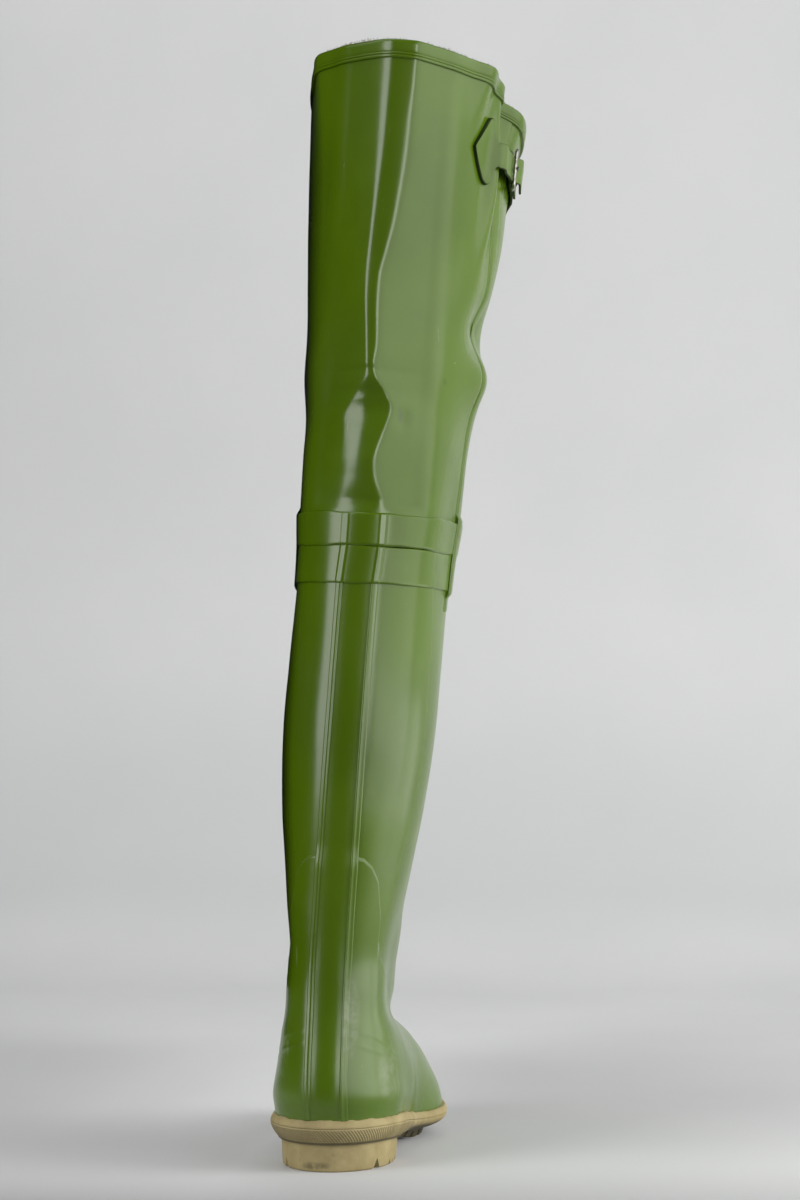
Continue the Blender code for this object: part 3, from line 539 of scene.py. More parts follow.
def connect(shader, graph, base, roughness, bump=None, strength=1.0, distance=0.001):
    """Feeds a shader's colour, roughness and bump."""
    links = graph.tree.links
    links.new(base.socket, shader.inputs["Base Color"])
    links.new(roughness.socket, shader.inputs["Roughness"])
    if bump is not None:
        normal = graph.node("Bump", None, {"Strength": strength, "Distance": distance, "Height": bump})
        links.new(normal.socket, shader.inputs["Normal"])


def noise(graph, place, scale, detail=3.0, roughness=0.5):
    inputs = {"Vector": place, "Scale": scale, "Detail": detail, "Roughness": roughness}
    return graph.node("TexNoise", None, inputs)


def object_place(graph):
    return graph.node("TexCoord", output=3)


def stretched(graph, place, scale):
    return graph.node("Mapping", None, {"Vector": place, "Scale": scale})


def axes(graph, place):
    """A place's three coordinates: east, north and up."""
    return [graph.node("SeparateXYZ", None, {0: place}, output=axis) for axis in range(3)]


def measure(graph, name):
    """A number that the mesh keeps for each of its vertices."""
    return graph.node("Attribute", {"attribute_name": name}, output=2)


def mottled(name, scale, dark, light, roughness, specular):
    """A plain finish that varies a little between two colours."""
    material, shader, graph = new_material(name, specular=specular)
    spots = noise(graph, object_place(graph), scale)
    connect(shader, graph, spots.blend(dark, light), spots * 0.1 + roughness)
    return material


print("helpers for finishes ready")

# %% [markdown]
# A few scuffs and nicks are larger than any even wear, so they are set one by one as soft ovals on the
# back of the boot. A painted image could hold them, but ovals need no image and stay sharp at any size.

# %% Marks on the rubber
Mark = namedtuple("Mark", "name x z wide tall tint")
# Chalk is the pale of real scratches and rubs, and also of the highlight painted on the counter's edge.
NICK_SHADE, GREY, CHALK_AND_SHEEN = colour(0.020, 0.030, 0.004), colour(0.045, 0.058, 0.025), colour(0.17, 0.21, 0.10)
THIGH_MARKS = (
    # A small dark spot: painted shade of a nick in the rubber.
    Mark("shade of a nick on the outer panel", 81.0, 547.0, 1.2, 2.6, NICK_SHADE),
    # A grey scuff that also paints the shade of the dimple it sits on.
    Mark("scuff and shade in the dimple beside the diamond", 53.0, 521.0, 2.4, 7.0, GREY),
    Mark("short scratch", 17.0, 514.0, 0.6, 5.0, CHALK_AND_SHEEN),
    Mark("speck", 87.0, 561.0, 0.8, 1.0, CHALK_AND_SHEEN),
)
LEG_MARKS = (
    Mark("rub beside the outer rib, high", 17.0, 106.0, 7.0, 34.0, CHALK_AND_SHEEN),
    Mark("rub on the outer heel", 42.0, 66.0, 9.0, 22.0, CHALK_AND_SHEEN),
    Mark("scratch on the inner heel", -28.0, 84.0, 1.2, 7.0, CHALK_AND_SHEEN),
    Mark("scratch above the inner ridge", -22.0, 148.0, 0.8, 9.0, CHALK_AND_SHEEN),
)
MARK_SOFT, MARKED_BACK = (0.1, 1.0), (-0.10, -0.08)


def mark_share(graph, place, mark):
    """1 in the middle of an oval mark on the back of the boot, 0 outside it."""
    east, north, up = axes(graph, place)
    right = (east - (mark.x * MM + float(SHIFT[0]))) * (1 / (mark.wide * MM))
    rise = (up - mark.z * MM) * (1 / (mark.tall * MM))
    return (1 - (right * right + rise * rise).step(*MARK_SOFT)) * (1 - north.step(*MARKED_BACK))


print("marks:", len(THIGH_MARKS) + len(LEG_MARKS))

# %% [markdown]
# Old green rubber is not one colour. It is deep and clean where it was wiped, paler where a bloom has
# come to the surface, and rubbed in streaks. One colour with a bump would look like new plastic. So one
# graph of noises serves leg, counter, thigh and straps, with more or less bloom, grain and shine, and
# along the counter's edge it paints a pale highlight. A cut edge is darker and matt, and on the straps
# that dark also paints a shadow line along the edge.

# %% Green rubber
GREEN_DEEP = colour(0.060, 0.113, 0.0015)
GREEN_BODY = colour(0.073, 0.135, 0.0019)
GREEN_BLOOM = colour(0.105, 0.150, 0.030)
GREEN_SCUFF = colour(0.22, 0.25, 0.14)
EDGE_DARK, EDGE_LIGHT = colour(0.016, 0.030, 0.001), colour(0.030, 0.054, 0.002)
MARK_STRENGTH = 0.75


def green_rubber(name, bloom_amount, grain, roughness, marks=(), painted_edge_sheen=0.0):
    material, shader, graph = new_material(name, specular=0.5)
    place = object_place(graph)
    tone = noise(graph, place, 9.0, 4.0).step(0.35, 0.65)
    cloud = noise(graph, stretched(graph, place, (22.0, 22.0, 7.0)), 1.0, 6.0, 0.62)
    bloom = cloud.step(0.47, 0.74) * bloom_amount
    rubs = noise(graph, stretched(graph, place, (160.0, 160.0, 20.0)), 1.0, 4.0, 0.7).step(0.66, 0.82)
    speck = noise(graph, place, 420.0, 2.0).step(0.70, 0.78)
    base = tone.blend(GREEN_DEEP, GREEN_BODY)
    base = bloom.blend(base, GREEN_BLOOM)
    base = (rubs * 0.35 * cloud + speck * 0.12).blend(base, GREEN_SCUFF)
    for mark in marks:
        share = mark_share(graph, place, mark) * noise(graph, place, 110.0, 5.0, 0.7).step(0.25, 0.75)
        base = (share * MARK_STRENGTH).blend(base, mark.tint)
    # A pale highlight is painted in chalk along an edge that the mesh measures.
    if painted_edge_sheen:
        base = (measure(graph, "edge") * painted_edge_sheen).blend(base, CHALK_AND_SHEEN)
    shine = roughness + bloom * 0.16 + rubs * 0.10 + noise(graph, place, 60.0, 3.0) * 0.05
    relief = noise(graph, place, 1500.0, 2.0) * grain + noise(graph, place, 160.0, 2.0) * 0.2
    connect(shader, graph, base, shine, relief, 0.30, 0.00025)
    return material


LEG_GREEN = green_rubber("leg green", 0.30, 0.30, 0.19, LEG_MARKS)
COUNTER_GREEN = green_rubber("counter green", 0.30, 0.30, 0.19, LEG_MARKS, 0.9)
THIGH_GREEN = green_rubber("thigh green", 0.12, 0.45, 0.21, THIGH_MARKS)
STRAP_GREEN = green_rubber("strap green", 0.30, 0.60, 0.36)
# The dark, matt finish of the straps' cut sides; it also paints a shadow line along their edges.
STRAP_EDGE_AND_SHADOW = mottled("cut edge green and painted shadow", 500.0, EDGE_DARK, EDGE_LIGHT, 0.6, 0.3)
print("green finishes: 5")

# %% [markdown]
# The sole is crepe-coloured rubber, matt and a little dirty. Its side band is knurled with two sets of
# fine slanting lines. Cut as geometry, they would take a great many faces for very little depth, so they
# are drawn in colour and bump, with dirt and painted shade in their grooves. They run along the band, so
# they are drawn on the piece's own measures of run and drop. Below the band, the sole's lower side and
# the tread's underside are painted dark as shade.

# %% Tan rubber
TAN_LIGHT = colour(0.345, 0.283, 0.132)
TAN_DARK = colour(0.26, 0.206, 0.09)
TAN_DIRT_AND_SHADE = colour(0.055, 0.045, 0.022)
KNURL_PITCH, KNURL_SLANT = 2.1, 0.8
KNURL_FROM, KNURL_TO = (0.7, 1.3), (9.0, 9.6)
CROSSED_RUN, FORE_RUN = (-10.0, 25.0), (105.0, 150.0)
TOOTH_PITCH, TOOTH_DEPTH = 5.5, 0.9
FORE_SHADE, HEEL_SHADE = (3.6, 5.2), (9.3, 10.2)
TREAD_NORTH, TREAD_UP = (-0.05, -0.03), (0.007, 0.010)
DARK_PATCH_UP = ((0.001, 0.003), (0.004, 0.008))
DARK_PATCH_EAST = ((-0.060, -0.052), (-0.042, -0.031))


def knurled_band(graph, place, base, relief):
    """Adds the knurled band, painted shade under it, and dirt with painted shade in its grooves."""
    _, north, up = axes(graph, place)
    run, drop = measure(graph, "run"), measure(graph, "drop")
    wave = 2 * math.pi / KNURL_PITCH
    falling = ((run - drop * KNURL_SLANT) * wave).sine() * 0.5 + 0.5
    rising = ((run + drop * KNURL_SLANT) * wave).sine() * 0.5 + 0.5
    crossed = (0 - run).step(*CROSSED_RUN)
    fore = graph.math("ABSOLUTE", run).step(*FORE_RUN)
    band = drop.between(KNURL_FROM, KNURL_TO) * (1 - fore)
    lines = falling * (1 - crossed * (1 - rising))
    # The grooves between the lines are darkened: dirt and painted shade.
    base = ((1 - lines) * band * 0.55).blend(base, TAN_DIRT_AND_SHADE)
    # Painted shade: the lower side of the sole goes dark, along a toothed line on the forefoot.
    teeth = (run * (2 * math.pi / TOOTH_PITCH)).sine() * TOOTH_DEPTH
    shade = fore * (drop + teeth).step(*FORE_SHADE) + (1 - fore) * drop.step(*HEEL_SHADE)
    base = (shade * 0.88).blend(base, TAN_DIRT_AND_SHADE)
    # Painted shade on the underside of the forefoot's tread.
    base = (north.step(*TREAD_NORTH) * (1 - up.step(*TREAD_UP)) * 0.9).blend(base, TAN_DIRT_AND_SHADE)
    return base, relief + lines * band * 2.0


def heel_dark_patch(graph, place, base):
    """Darkens a patch low on the back of the heel, near the floor."""
    east, _, up = axes(graph, place)
    dark_patch = up.between(*DARK_PATCH_UP) * east.between(*DARK_PATCH_EAST)
    dark_patch = dark_patch * noise(graph, place, 190.0, 3.0).step(0.35, 0.6)
    return (dark_patch * 0.6).blend(base, TAN_DIRT_AND_SHADE)


def tan_rubber(name, knurled):
    material, shader, graph = new_material(name, specular=0.35)
    place = object_place(graph)
    tone = noise(graph, place, 45.0, 5.0, 0.6).step(0.32, 0.68)
    stain = noise(graph, place, 110.0, 5.0, 0.65).step(0.60, 0.80)
    base = (stain * 0.35).blend(tone.blend(TAN_LIGHT, TAN_DARK), TAN_DIRT_AND_SHADE)
    relief = noise(graph, place, 600.0, 4.0) * 0.35
    if knurled:
        base, relief = knurled_band(graph, place, base, relief)
    else:
        base = heel_dark_patch(graph, place, base)
    connect(shader, graph, base, tone * 0.12 + 0.62, relief, 0.5, 0.0004)
    return material


TAN = tan_rubber("tan", False)
TAN_KNURLED = tan_rubber("tan knurled", True)
print("tan finishes: 2")

# %% [markdown]
# Inside the boot is a cotton lining, bonded to the rubber, and the footbed has the same cloth. Its
# threads could be modelled, but nobody sees them one by one, so two sines make the weave. The buckle is
# bent from plated wire that has gone a little dull, which a noise between two greys gives.

# %% Lining and steel
CLOTH_LIGHT = colour(0.42, 0.39, 0.28)
CLOTH_DARK = colour(0.22, 0.21, 0.14)
CLOTH_THREAD = 1.1
STEEL_CLEAN, STEEL_DULL = colour(0.34, 0.33, 0.31), colour(0.15, 0.14, 0.12)


def lining_cloth(name):
    material, shader, graph = new_material(name, specular=0.2)
    place = object_place(graph)
    east, _, up = axes(graph, place)
    wave = 2 * math.pi / (CLOTH_THREAD * MM)
    weave = (east * wave).sine() * (up * wave).sine() * 0.5 + 0.5
    fuzz = noise(graph, place, 300.0, 4.0, 0.7)
    base = (weave * 0.5 + fuzz * 0.5).blend(CLOTH_DARK, CLOTH_LIGHT)
    connect(shader, graph, base, fuzz * 0.1 + 0.85, weave + fuzz, 0.6, 0.0004)
    return material


def dull_steel(name):
    material, shader, graph = new_material(name, metallic=1.0)
    place = object_place(graph)
    tarnish = noise(graph, place, 260.0, 4.0, 0.6).step(0.45, 0.75)
    base = tarnish.blend(STEEL_CLEAN, STEEL_DULL)
    connect(shader, graph, base, tarnish * 0.22 + 0.24, noise(graph, place, 900.0), 0.2, 0.0002)
    return material


LINING = lining_cloth("cotton lining")
STEEL = dull_steel("plated wire")
print("lining and steel ready")

# %% [markdown]
# Rubber sheet is modelled as a grid that is bent onto the boot's surface. Extruding and sculpting could
# make it too, but a grid takes its points straight from the surface. Rows that come back along the inside
# make it a closed wall with a real thickness, and the seam where the columns meet is merged.

# %% Bending grids
MERGE_DISTANCE = 0.000002


def bent_grid(points, row_materials=None, measures=None):
    """A grid whose rows and columns take these points, in boot millimetres; edges that meet are merged."""
    rows, columns = points.shape[:2]
    mesh = bmesh.new()
    bmesh.ops.create_grid(mesh, x_segments=columns - 1, y_segments=rows - 1, size=1)
    for vert, place in zip(mesh.verts, to_frame(points).reshape(-1, 3)):
        vert.co = place
    for name, values in (measures or {}).items():
        layer = mesh.verts.layers.float.new(name)
        for vert, value in zip(mesh.verts, np.broadcast_to(values, (rows, columns)).ravel()):
            vert[layer] = value
    if row_materials is not None:
        for index, face in enumerate(mesh.faces):
            face.material_index = row_materials[index // (columns - 1)]
    bmesh.ops.remove_doubles(mesh, verts=mesh.verts, dist=MERGE_DISTANCE)
    return mesh


def closed_grid(points, row_materials=None, measures=None):
    """The same grid with its open ends filled and every face turned outward."""
    mesh = bent_grid(points, row_materials, measures)
    open_edges = [edge for edge in mesh.edges if edge.is_boundary]
    if open_edges:
        bmesh.ops.holes_fill(mesh, edges=open_edges, sides=0)
    bmesh.ops.recalc_face_normals(mesh, faces=mesh.faces)
    return mesh


def back_turns(count, gather):
    """Turns right round the boot, closer together at the back."""
    even = np.linspace(-math.pi, math.pi, count + 1)
    return even - gather * np.sin(even)


print("grid tools ready")

# %% [markdown]
# A bmesh is only a worktable. To be seen, it is written to a mesh, gets its materials and becomes an
# object. Edges above an angle stay sharp and the rest is shaded smooth, which saves bevels on thin sheet.
# Each piece also says which solids it stands in for, and these are hidden.

# %% From mesh to piece
def mesh_object(name, mesh, materials=()):
    """An object made from a bmesh, which is used up."""
    data = bpy.data.meshes.new(name)
    mesh.to_mesh(data)
    mesh.free()
    for material in materials:
        data.materials.append(material)
    return put_in_scene(name, data)


def add_piece(name, mesh, materials, nodes, sharp=38.0):
    """Makes a finished mesh a piece of the boot, in place of CAD nodes."""
    for face in mesh.faces:
        face.smooth = True
    piece = mesh_object(name, mesh, materials)
    piece.data.set_sharp_from_angle(angle=math.radians(sharp))
    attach(piece, "root")
    if nodes:
        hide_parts(*nodes)
    print(name, "faces:", len(piece.data.polygons))


print("pieces can be added")

# %% [markdown]
# A soft shaft folds where a leg has bent it. The back of this thigh is three panels that meet along fold
# lines. A cloth simulation could fold it, but hardly along just these lines. So each row of a line has a
# height, its place across, how soft the bend is, and how many degrees the sheet turns there.

# %% Fold lines
FoldLine = namedtuple("FoldLine", "name rows")
FoldRow = namedtuple("FoldRow", "height across soft turn")
FOLD_TABLE = (
    ("inner ridge", (
        (462, -14.0, 9.0, 40), (480, -10.0, 8.0, 36), (502, -5.5, 6.0, 30), (521, -3.5, 6.0, 31),
        (538, -4.0, 4.5, 34), (548, -2.6, 1.8, 39), (556, -3.2, 1.3, 42), (575, -5.0, 1.3, 44),
        (600, -7.3, 1.6, 46), (620, -8.3, 2.0, 46), (645, -7.3, 2.2, 46), (671, -5.9, 2.8, 45),
        (700, -4.2, 4.5, 44), (740, -3.0, 5.5, 44), (780, -3.0, 6.0, 44))),
    ("inner corner of the diamond", (
        (462, -19.0, 4.0, 0), (480, -18.0, 3.5, 5), (491, -17.4, 2.4, 12), (502, -17.2, 1.8, 15),
        (511, -17.6, 1.6, 17), (521, -18.5, 1.5, 18), (532, -12.7, 1.5, 15), (543, -6.5, 1.5, 8),
        (552, -4.0, 1.5, 0))),
    ("outer ridge", (
        (463, 11.1, 4.0, 38), (471, 8.3, 3.6, 39), (480, 6.4, 3.2, 40), (488, 6.4, 3.0, 40),
        (496, 7.8, 2.4, 40), (507, 10.8, 1.8, 41), (517, 13.6, 1.5, 43), (527, 15.2, 1.4, 44),
        (535, 11.4, 1.4, 43), (542, 6.4, 1.4, 43), (550, 2.4, 1.6, 43), (569, 2.8, 2.4, 44),
        (600, 1.0, 3.2, 46), (619, 1.2, 3.4, 46), (634, 4.4, 3.4, 46), (652, 8.2, 3.4, 46),
        (674, 11.0, 3.6, 46), (700, 13.6, 3.6, 46), (724, 14.4, 3.0, 45), (745, 15.2, 2.2, 45),
        (780, 15.4, 1.5, 45))),
)
FOLD_LINES = [FoldLine(name, [FoldRow(*row) for row in rows]) for name, rows in FOLD_TABLE]
print("fold rows:", sum(len(line.rows) for line in FOLD_LINES))

# %% [markdown]
# The turns of all lines are added up across the back, and the slopes that follow are summed to a depth,
# as one folds a sheet of card. The depth is blended into the plain skin at both sides and at the foot, so
# no edge shows where the panels end.

# %% Folded panels
PANEL_REACH, PANEL_FADE, PANEL_FOOT, PANEL_RISE, PANEL_TURN = 40.0, 9.0, 453.0, 8.0, 66.0
PANEL_GRID = np.linspace(-60, 60, 481)


def ease(value):
    """0 below 0, 1 above 1, and smooth between."""
    value = np.clip(value, 0, 1)
    return value * value * (3 - 2 * value)


def panel_slopes(height):
    """How the folded sheet runs across the back at one height, from the sum of its turns."""
    facing = np.zeros(len(PANEL_GRID))
    for line in FOLD_LINES:
        knots = [row.height for row in line.rows]
        middle = smooth(height, knots, [row.across for row in line.rows])
        soft = np.interp(height, knots, [row.soft for row in line.rows])
        turn = np.interp(height, knots, [row.turn for row in line.rows])
        away = (PANEL_GRID - middle) / soft
        facing += turn / 2 * away / np.hypot(1, away)
    return np.tan(np.radians(facing))


def fold_shift(height, turns, plain):
    """How far the folds move one row of the thigh's points towards the toe."""
    across = plain[:, 0] - lean_at(height)
    back = np.abs(turns) < math.radians(PANEL_TURN)
    slopes = panel_slopes(height)
    steps = (slopes[1:] + slopes[:-1]) / 2 * np.diff(PANEL_GRID)
    depth = np.concatenate(([0.0], np.cumsum(steps)))
    ends = np.array((-PANEL_REACH, PANEL_REACH))
    gaps = np.interp(ends, across[back], plain[back, 1]) - np.interp(ends, PANEL_GRID, depth)
    depth = depth + gaps[0] + (gaps[1] - gaps[0]) * (PANEL_GRID + PANEL_REACH) / (2 * PANEL_REACH)
    share = ease((PANEL_REACH + PANEL_FADE - np.abs(across)) / (2 * PANEL_FADE))
    share = share * ease((height - PANEL_FOOT) / PANEL_RISE)
    return back * share * (np.interp(across, PANEL_GRID, depth) - plain[:, 1])


print("panels reach", PANEL_REACH, "mm to each side")

# %% [markdown]
# Between the folds the sheet is not quite flat. A few broad swells are listed where the light shows them,
# and small ripples follow from sines. A noise would do for the ripples too, but sines can be read at any
# point and are the same in every run.

# %% Swells and ripples
Swell = namedtuple("Swell", "name height across depth tall wide")
SWELLS = (
    Swell("dimple beside the diamond", 520.0, 23.0, -1.0, 7.0, 4.0),
    Swell("outer panel, low", 560.0, 52.0, 1.2, 34.0, 18.0),
    Swell("outer panel, middle", 625.0, 38.0, -1.0, 26.0, 14.0),
    Swell("outer panel, high", 690.0, 40.0, 0.8, 34.0, 14.0),
    Swell("inner panel, low", 540.0, -42.0, 1.0, 26.0, 12.0),
    Swell("inner panel, high", 650.0, -40.0, -0.8, 40.0, 14.0),
)
KEEL_HEIGHTS = (431.0, 464.0, 491.0)
KEEL_SHIFTS = (2.0, 1.7, 0.0)
RIPPLE_SLOW, RIPPLE_FINE = 0.16, 0.07


def keel_share(turn):
    """How much of the keel's shift is felt at a turn."""
    return ((1 + np.cos(turn)) / 2) ** 6


def ripples(height, turn):
    """A gentle unevenness, as moulded sheet has."""
    slow = np.sin(height / 23.0 + 3 * np.sin(turn)) * np.sin(2 * turn + height / 61.0)
    fine = np.sin(height / 8.7 + 5 * turn) * np.sin(3 * turn - height / 31.0)
    return RIPPLE_SLOW * slow + RIPPLE_FINE * fine


def thigh_relief(height, turn, across):
    """How far the thigh's skin stands out from its sections."""
    back = np.cos(turn) > 0
    push = ripples(height, turn)
    for swell in SWELLS:
        rise = (height - swell.height) / swell.tall
        push = push + back * swell.depth * np.exp(-rise**2 - ((across - swell.across) / swell.wide) ** 2)
    return push


print("swells:", len(SWELLS))

# %% [markdown]
# The shaft and the leg are hollow walls with a lining. A Solidify modifier could thicken an open skin,
# but then the lining couldn't have fewer rows than the skin. So a wall is one grid: rows up the outside
# and back down the inside, which has the cloth.

# %% Hollow walls
WallRow = namedtuple("WallRow", "level offset material")
INNER_ROWS = 60


def wall_rows(levels, wall):
    """Rows of a wall: up the outside, over the lip, and down the inside."""
    inner = np.linspace(levels[-1], levels[0], INNER_ROWS)
    rows = [WallRow(level, 0.0, 0) for level in levels]
    rows += [WallRow(level, -wall, 1) for level in inner]
    return rows + rows[:1]


def wall_points(rows, turns, relief, thigh=False):
    level = np.array([row.level for row in rows])[:, None]
    offset = np.array([row.offset for row in rows])[:, None]
    height = np.broadcast_to(np.interp(level, FINE_LEVELS, FINE_HEIGHTS), (len(rows), len(turns)))
    turn = np.broadcast_to(turns[None, :], height.shape)
    plain = surface(level, turns[None, :], 0.0)
    across = plain[..., 0] - lean_at(height)
    points = surface(level, turns[None, :], offset + relief(height, turn, across))
    if thigh:
        points[..., 0] += np.interp(height, KEEL_HEIGHTS, KEEL_SHIFTS) * keel_share(turn)
        for row in range(len(rows)):
            points[row, :, 1] += fold_shift(height[row, 0], turns, plain[row])
    return points


def wall_piece(name, levels, wall, turns, relief, material, node, thigh=False):
    rows = wall_rows(levels, wall)
    points = wall_points(rows, turns, relief, thigh)
    mesh = bent_grid(points, [row.material for row in rows])
    bmesh.ops.recalc_face_normals(mesh, faces=mesh.faces)
    add_piece(name, mesh, [material, LINING], [node])


print("wall tools ready")

# %% [markdown]
# The thigh shaft is thin, soft sheet, so it is the one wall that gets the folded panels and the swells.
# Its columns stand closer together at the back, where the folds are.

# %% Thigh shaft
THIGH_LEVELS = level_at(np.linspace(KNEE_HEIGHT + GAP, COLLAR_HEIGHT, 230))
wall_piece("thigh_shaft", THIGH_LEVELS, THIGH_WALL, back_turns(300, 0.6), thigh_relief, THIGH_GREEN,
           "thigh_tube", True)

# %% [markdown]
# The foot and lower leg are one stiffer moulding. Its skin is calm, so only the unevenness of moulded
# sheet is added, and fewer columns do, because nothing is folded here.

# %% Foot and lower leg
LEG_CALM = 0.8


def leg_relief(height, turn, across=None):
    """How far the leg's skin stands out; the place across makes no difference to it."""
    return LEG_CALM * ripples(height, turn)


UPPER_LEVELS = np.concatenate((
    np.linspace(0, len(FOOT_SECTIONS), 90)[:-1],
    level_at(np.linspace(LEG_SECTIONS[0].height, KNEE_HEIGHT - GAP, 90))))
wall_piece("leg_and_foot", UPPER_LEVELS, UPPER_WALL, back_turns(180, 0.3), leg_relief, LEG_GREEN,
           "upper")

# %% [markdown]
# Two bands of rubber were rolled on over the joint of leg and thigh. A plain ring with a bevel would look
# machined. Their edges are not quite straight, so the height of each edge wanders a little, and they are
# rounded where the tool pressed them down. The stay under them shows through.

# %% Knee bands
Band = namedtuple("Band", "name node foot top thickness wander telegraph")
BANDS = (
    Band("lower_knee_band", "knee_band_lower", 405.0, KNEE_HEIGHT, 1.4, 0.5, 0.6),
    Band("upper_knee_band", "knee_band_upper", KNEE_HEIGHT - 0.3, 454.0, 2.4, 1.0, 0.22),
)
BAND_EDGE = ((0.0, -0.4), (0.0, 0.55), (0.5, 0.85), (1.4, 1.0))
BAND_COLUMNS, BAND_ROWS, BAND_ROUND = 360, 8, 2.5
BEYOND_SWELLS = 99.0
STAY_MIDDLE = 1.0
STAY_PROFILE = (
    (14.9, -0.4), (14.8, 0.7), (14.4, 1.25), (13.8, 1.4), (13.0, 1.3), (11.7, 1.25), (11.2, 1.75),
    (10.7, 1.8), (10.3, 1.3), (9.9, 0.75), (9.2, 0.7), (7.0, 0.7), (5.0, 0.7), (2.5, 0.7), (0.0, 0.7),
)


def wander(turn, seed):
    """The wobble of a hand-laid edge, from -1 to 1."""
    slow, middle = np.sin(3 * turn + seed), np.sin(7 * turn + 2.1 * seed)
    return (slow + 0.6 * middle + 0.35 * np.sin(17 * turn - seed)) / 1.95


def stay_out(distance):
    """How far the stay stands out at a distance from its middle line."""
    profile = np.array(STAY_PROFILE[::-1])
    return np.interp(distance, profile[:, 0], profile[:, 1])


def band_points(band, turns):
    """A rounded strip's outline carried round the boot."""
    outline = [(band.foot + rise, out * band.thickness, -1) for rise, out in BAND_EDGE]
    middle = np.linspace(band.foot + BAND_ROUND, band.top - BAND_ROUND, BAND_ROWS)
    outline += [(height, band.thickness, 0) for height in middle]
    outline += [(band.top - rise, out * band.thickness, 1) for rise, out in BAND_EDGE[::-1]]
    outline.append(outline[0])
    rows = []
    for height, offset, end in outline:
        heights = height + band.wander * end * wander(turns, band.foot)
        beyond = np.full(len(turns), BEYOND_SWELLS)
        relief = thigh_relief(np.maximum(heights, KNEE_HEIGHT), turns, beyond)
        levels = level_at(heights)
        under = stay_out(np.abs(turns * section_at(levels).crest - STAY_MIDDLE)).clip(0) * (offset > 0)
        rows.append(surface(levels, turns, offset + relief + band.telegraph * under))
        joint_share = np.clip((heights - BANDS[0].foot) / (KNEE_HEIGHT - BANDS[0].foot), 0, 1)
        shift = np.interp(heights, KEEL_HEIGHTS, KEEL_SHIFTS) * joint_share
        rows[-1][:, 0] += shift * keel_share(turns)
    return np.array(rows)


for band in BANDS:
    mesh = closed_grid(band_points(band, back_turns(BAND_COLUMNS, 0.3)))
    add_piece(band.name, mesh, [LEG_GREEN], [band.node], sharp=60.0)

# %% [markdown]
# The collar is bound with a folded strip. Its lower edge is a bead with two fine grooves, and its upper
# edge turns over the rim. A bevelled ring couldn't have the grooves, so the outline is one closed profile
# of heights from the rim and offsets from the skin, carried round the collar.

# %% Collar binding
BINDING_PROFILE = (
    (-11.2, 0.0), (-11.2, 1.3), (-10.8, 1.8), (-10.0, 2.0), (-9.3, 1.8), (-9.0, 1.25), (-8.7, 1.7),
    (-8.0, 1.9), (-7.4, 1.6), (-7.1, 1.15), (-6.7, 1.4), (-4.5, 1.5), (-2.0, 1.5), (0.2, 1.4), (1.2, 0.9),
    (1.7, 0.0), (1.8, -1.2), (1.2, -2.4), (0.2, -3.2), (-2.0, -3.4), (-7.0, -3.3), (-7.0, -2.1),
    (-3.0, -1.9), (-0.5, -0.9),
)


def rim_points(profile, turns):
    rows = []
    for height, offset in profile + profile[:1]:
        back_height = COLLAR_HEIGHT + min(height, 0.0)
        level, heights = level_at(back_height), np.full(len(turns), back_height)
        plain = surface(level, turns)
        relief = thigh_relief(heights, turns, plain[:, 0] - lean_at(heights))
        points = surface(level, turns, offset + relief)
        points[:, 2] += max(height, 0.0)
        points[:, 1] += fold_shift(heights[0], turns, plain)
        rows.append(points)
    return np.array(rows)


mesh = closed_grid(rim_points(BINDING_PROFILE, back_turns(260, 0.4)))
add_piece("rolled_collar", mesh, [THIGH_GREEN], ["collar_binding"], sharp=70.0)

# %% [markdown]
# Strips and patches lie on the boot's skin. A Shrinkwrap modifier could lay them on, but their edges
# would stay square. Here each is a grid with an outer face, edges that dip into the skin, and an inner
# face under it. One helper takes the outer levels, turns and offsets and closes the piece.

# %% Overlays
SKIN_DIP, OVERLAY_DEPTH, INNER_STEP = 0.4, 0.8, 6


def overlay(levels, turns, offsets, edge=None):
    """A closed piece whose outer face has these offsets and whose inner face lies under the skin."""
    outer = surface(levels, turns, offsets)
    inner = surface(levels[::-INNER_STEP], turns[::-INNER_STEP], -OVERLAY_DEPTH)
    measures = {}
    if edge is not None:
        measures["edge"] = np.concatenate((edge, 0 * edge[::-INNER_STEP], edge[:1]))
    return closed_grid(np.concatenate((outer, inner, outer[:1])), measures=measures)


def window(value, start, rise, end, fall):
    """0 outside start and end, 1 well inside them, and smooth between."""
    return ease((value - start) / rise) * ease((end - value) / fall)


def arc_lengths(points):
    """Lengths along each row of points, from its middle column."""
    steps = np.linalg.norm(np.diff(points, axis=1), axis=2)
    lengths = np.concatenate((np.zeros((len(points), 1)), np.cumsum(steps, axis=1)), axis=1)
    middle = points.shape[1] // 2
    return lengths - lengths[:, middle:middle + 1]


print("overlay tools ready")

# %% [markdown]
# The heel counter is a thin arch of rubber over heel and Achilles. Where the moulding under it ends, two
# fine ridges show through and sweep down to each side. Bump could draw them, but they are real forms that
# catch the light, so they are part of this sheet's height. Near its edge a pale highlight is painted on,
# weaker over the flat top, and the mesh keeps a measure for that.

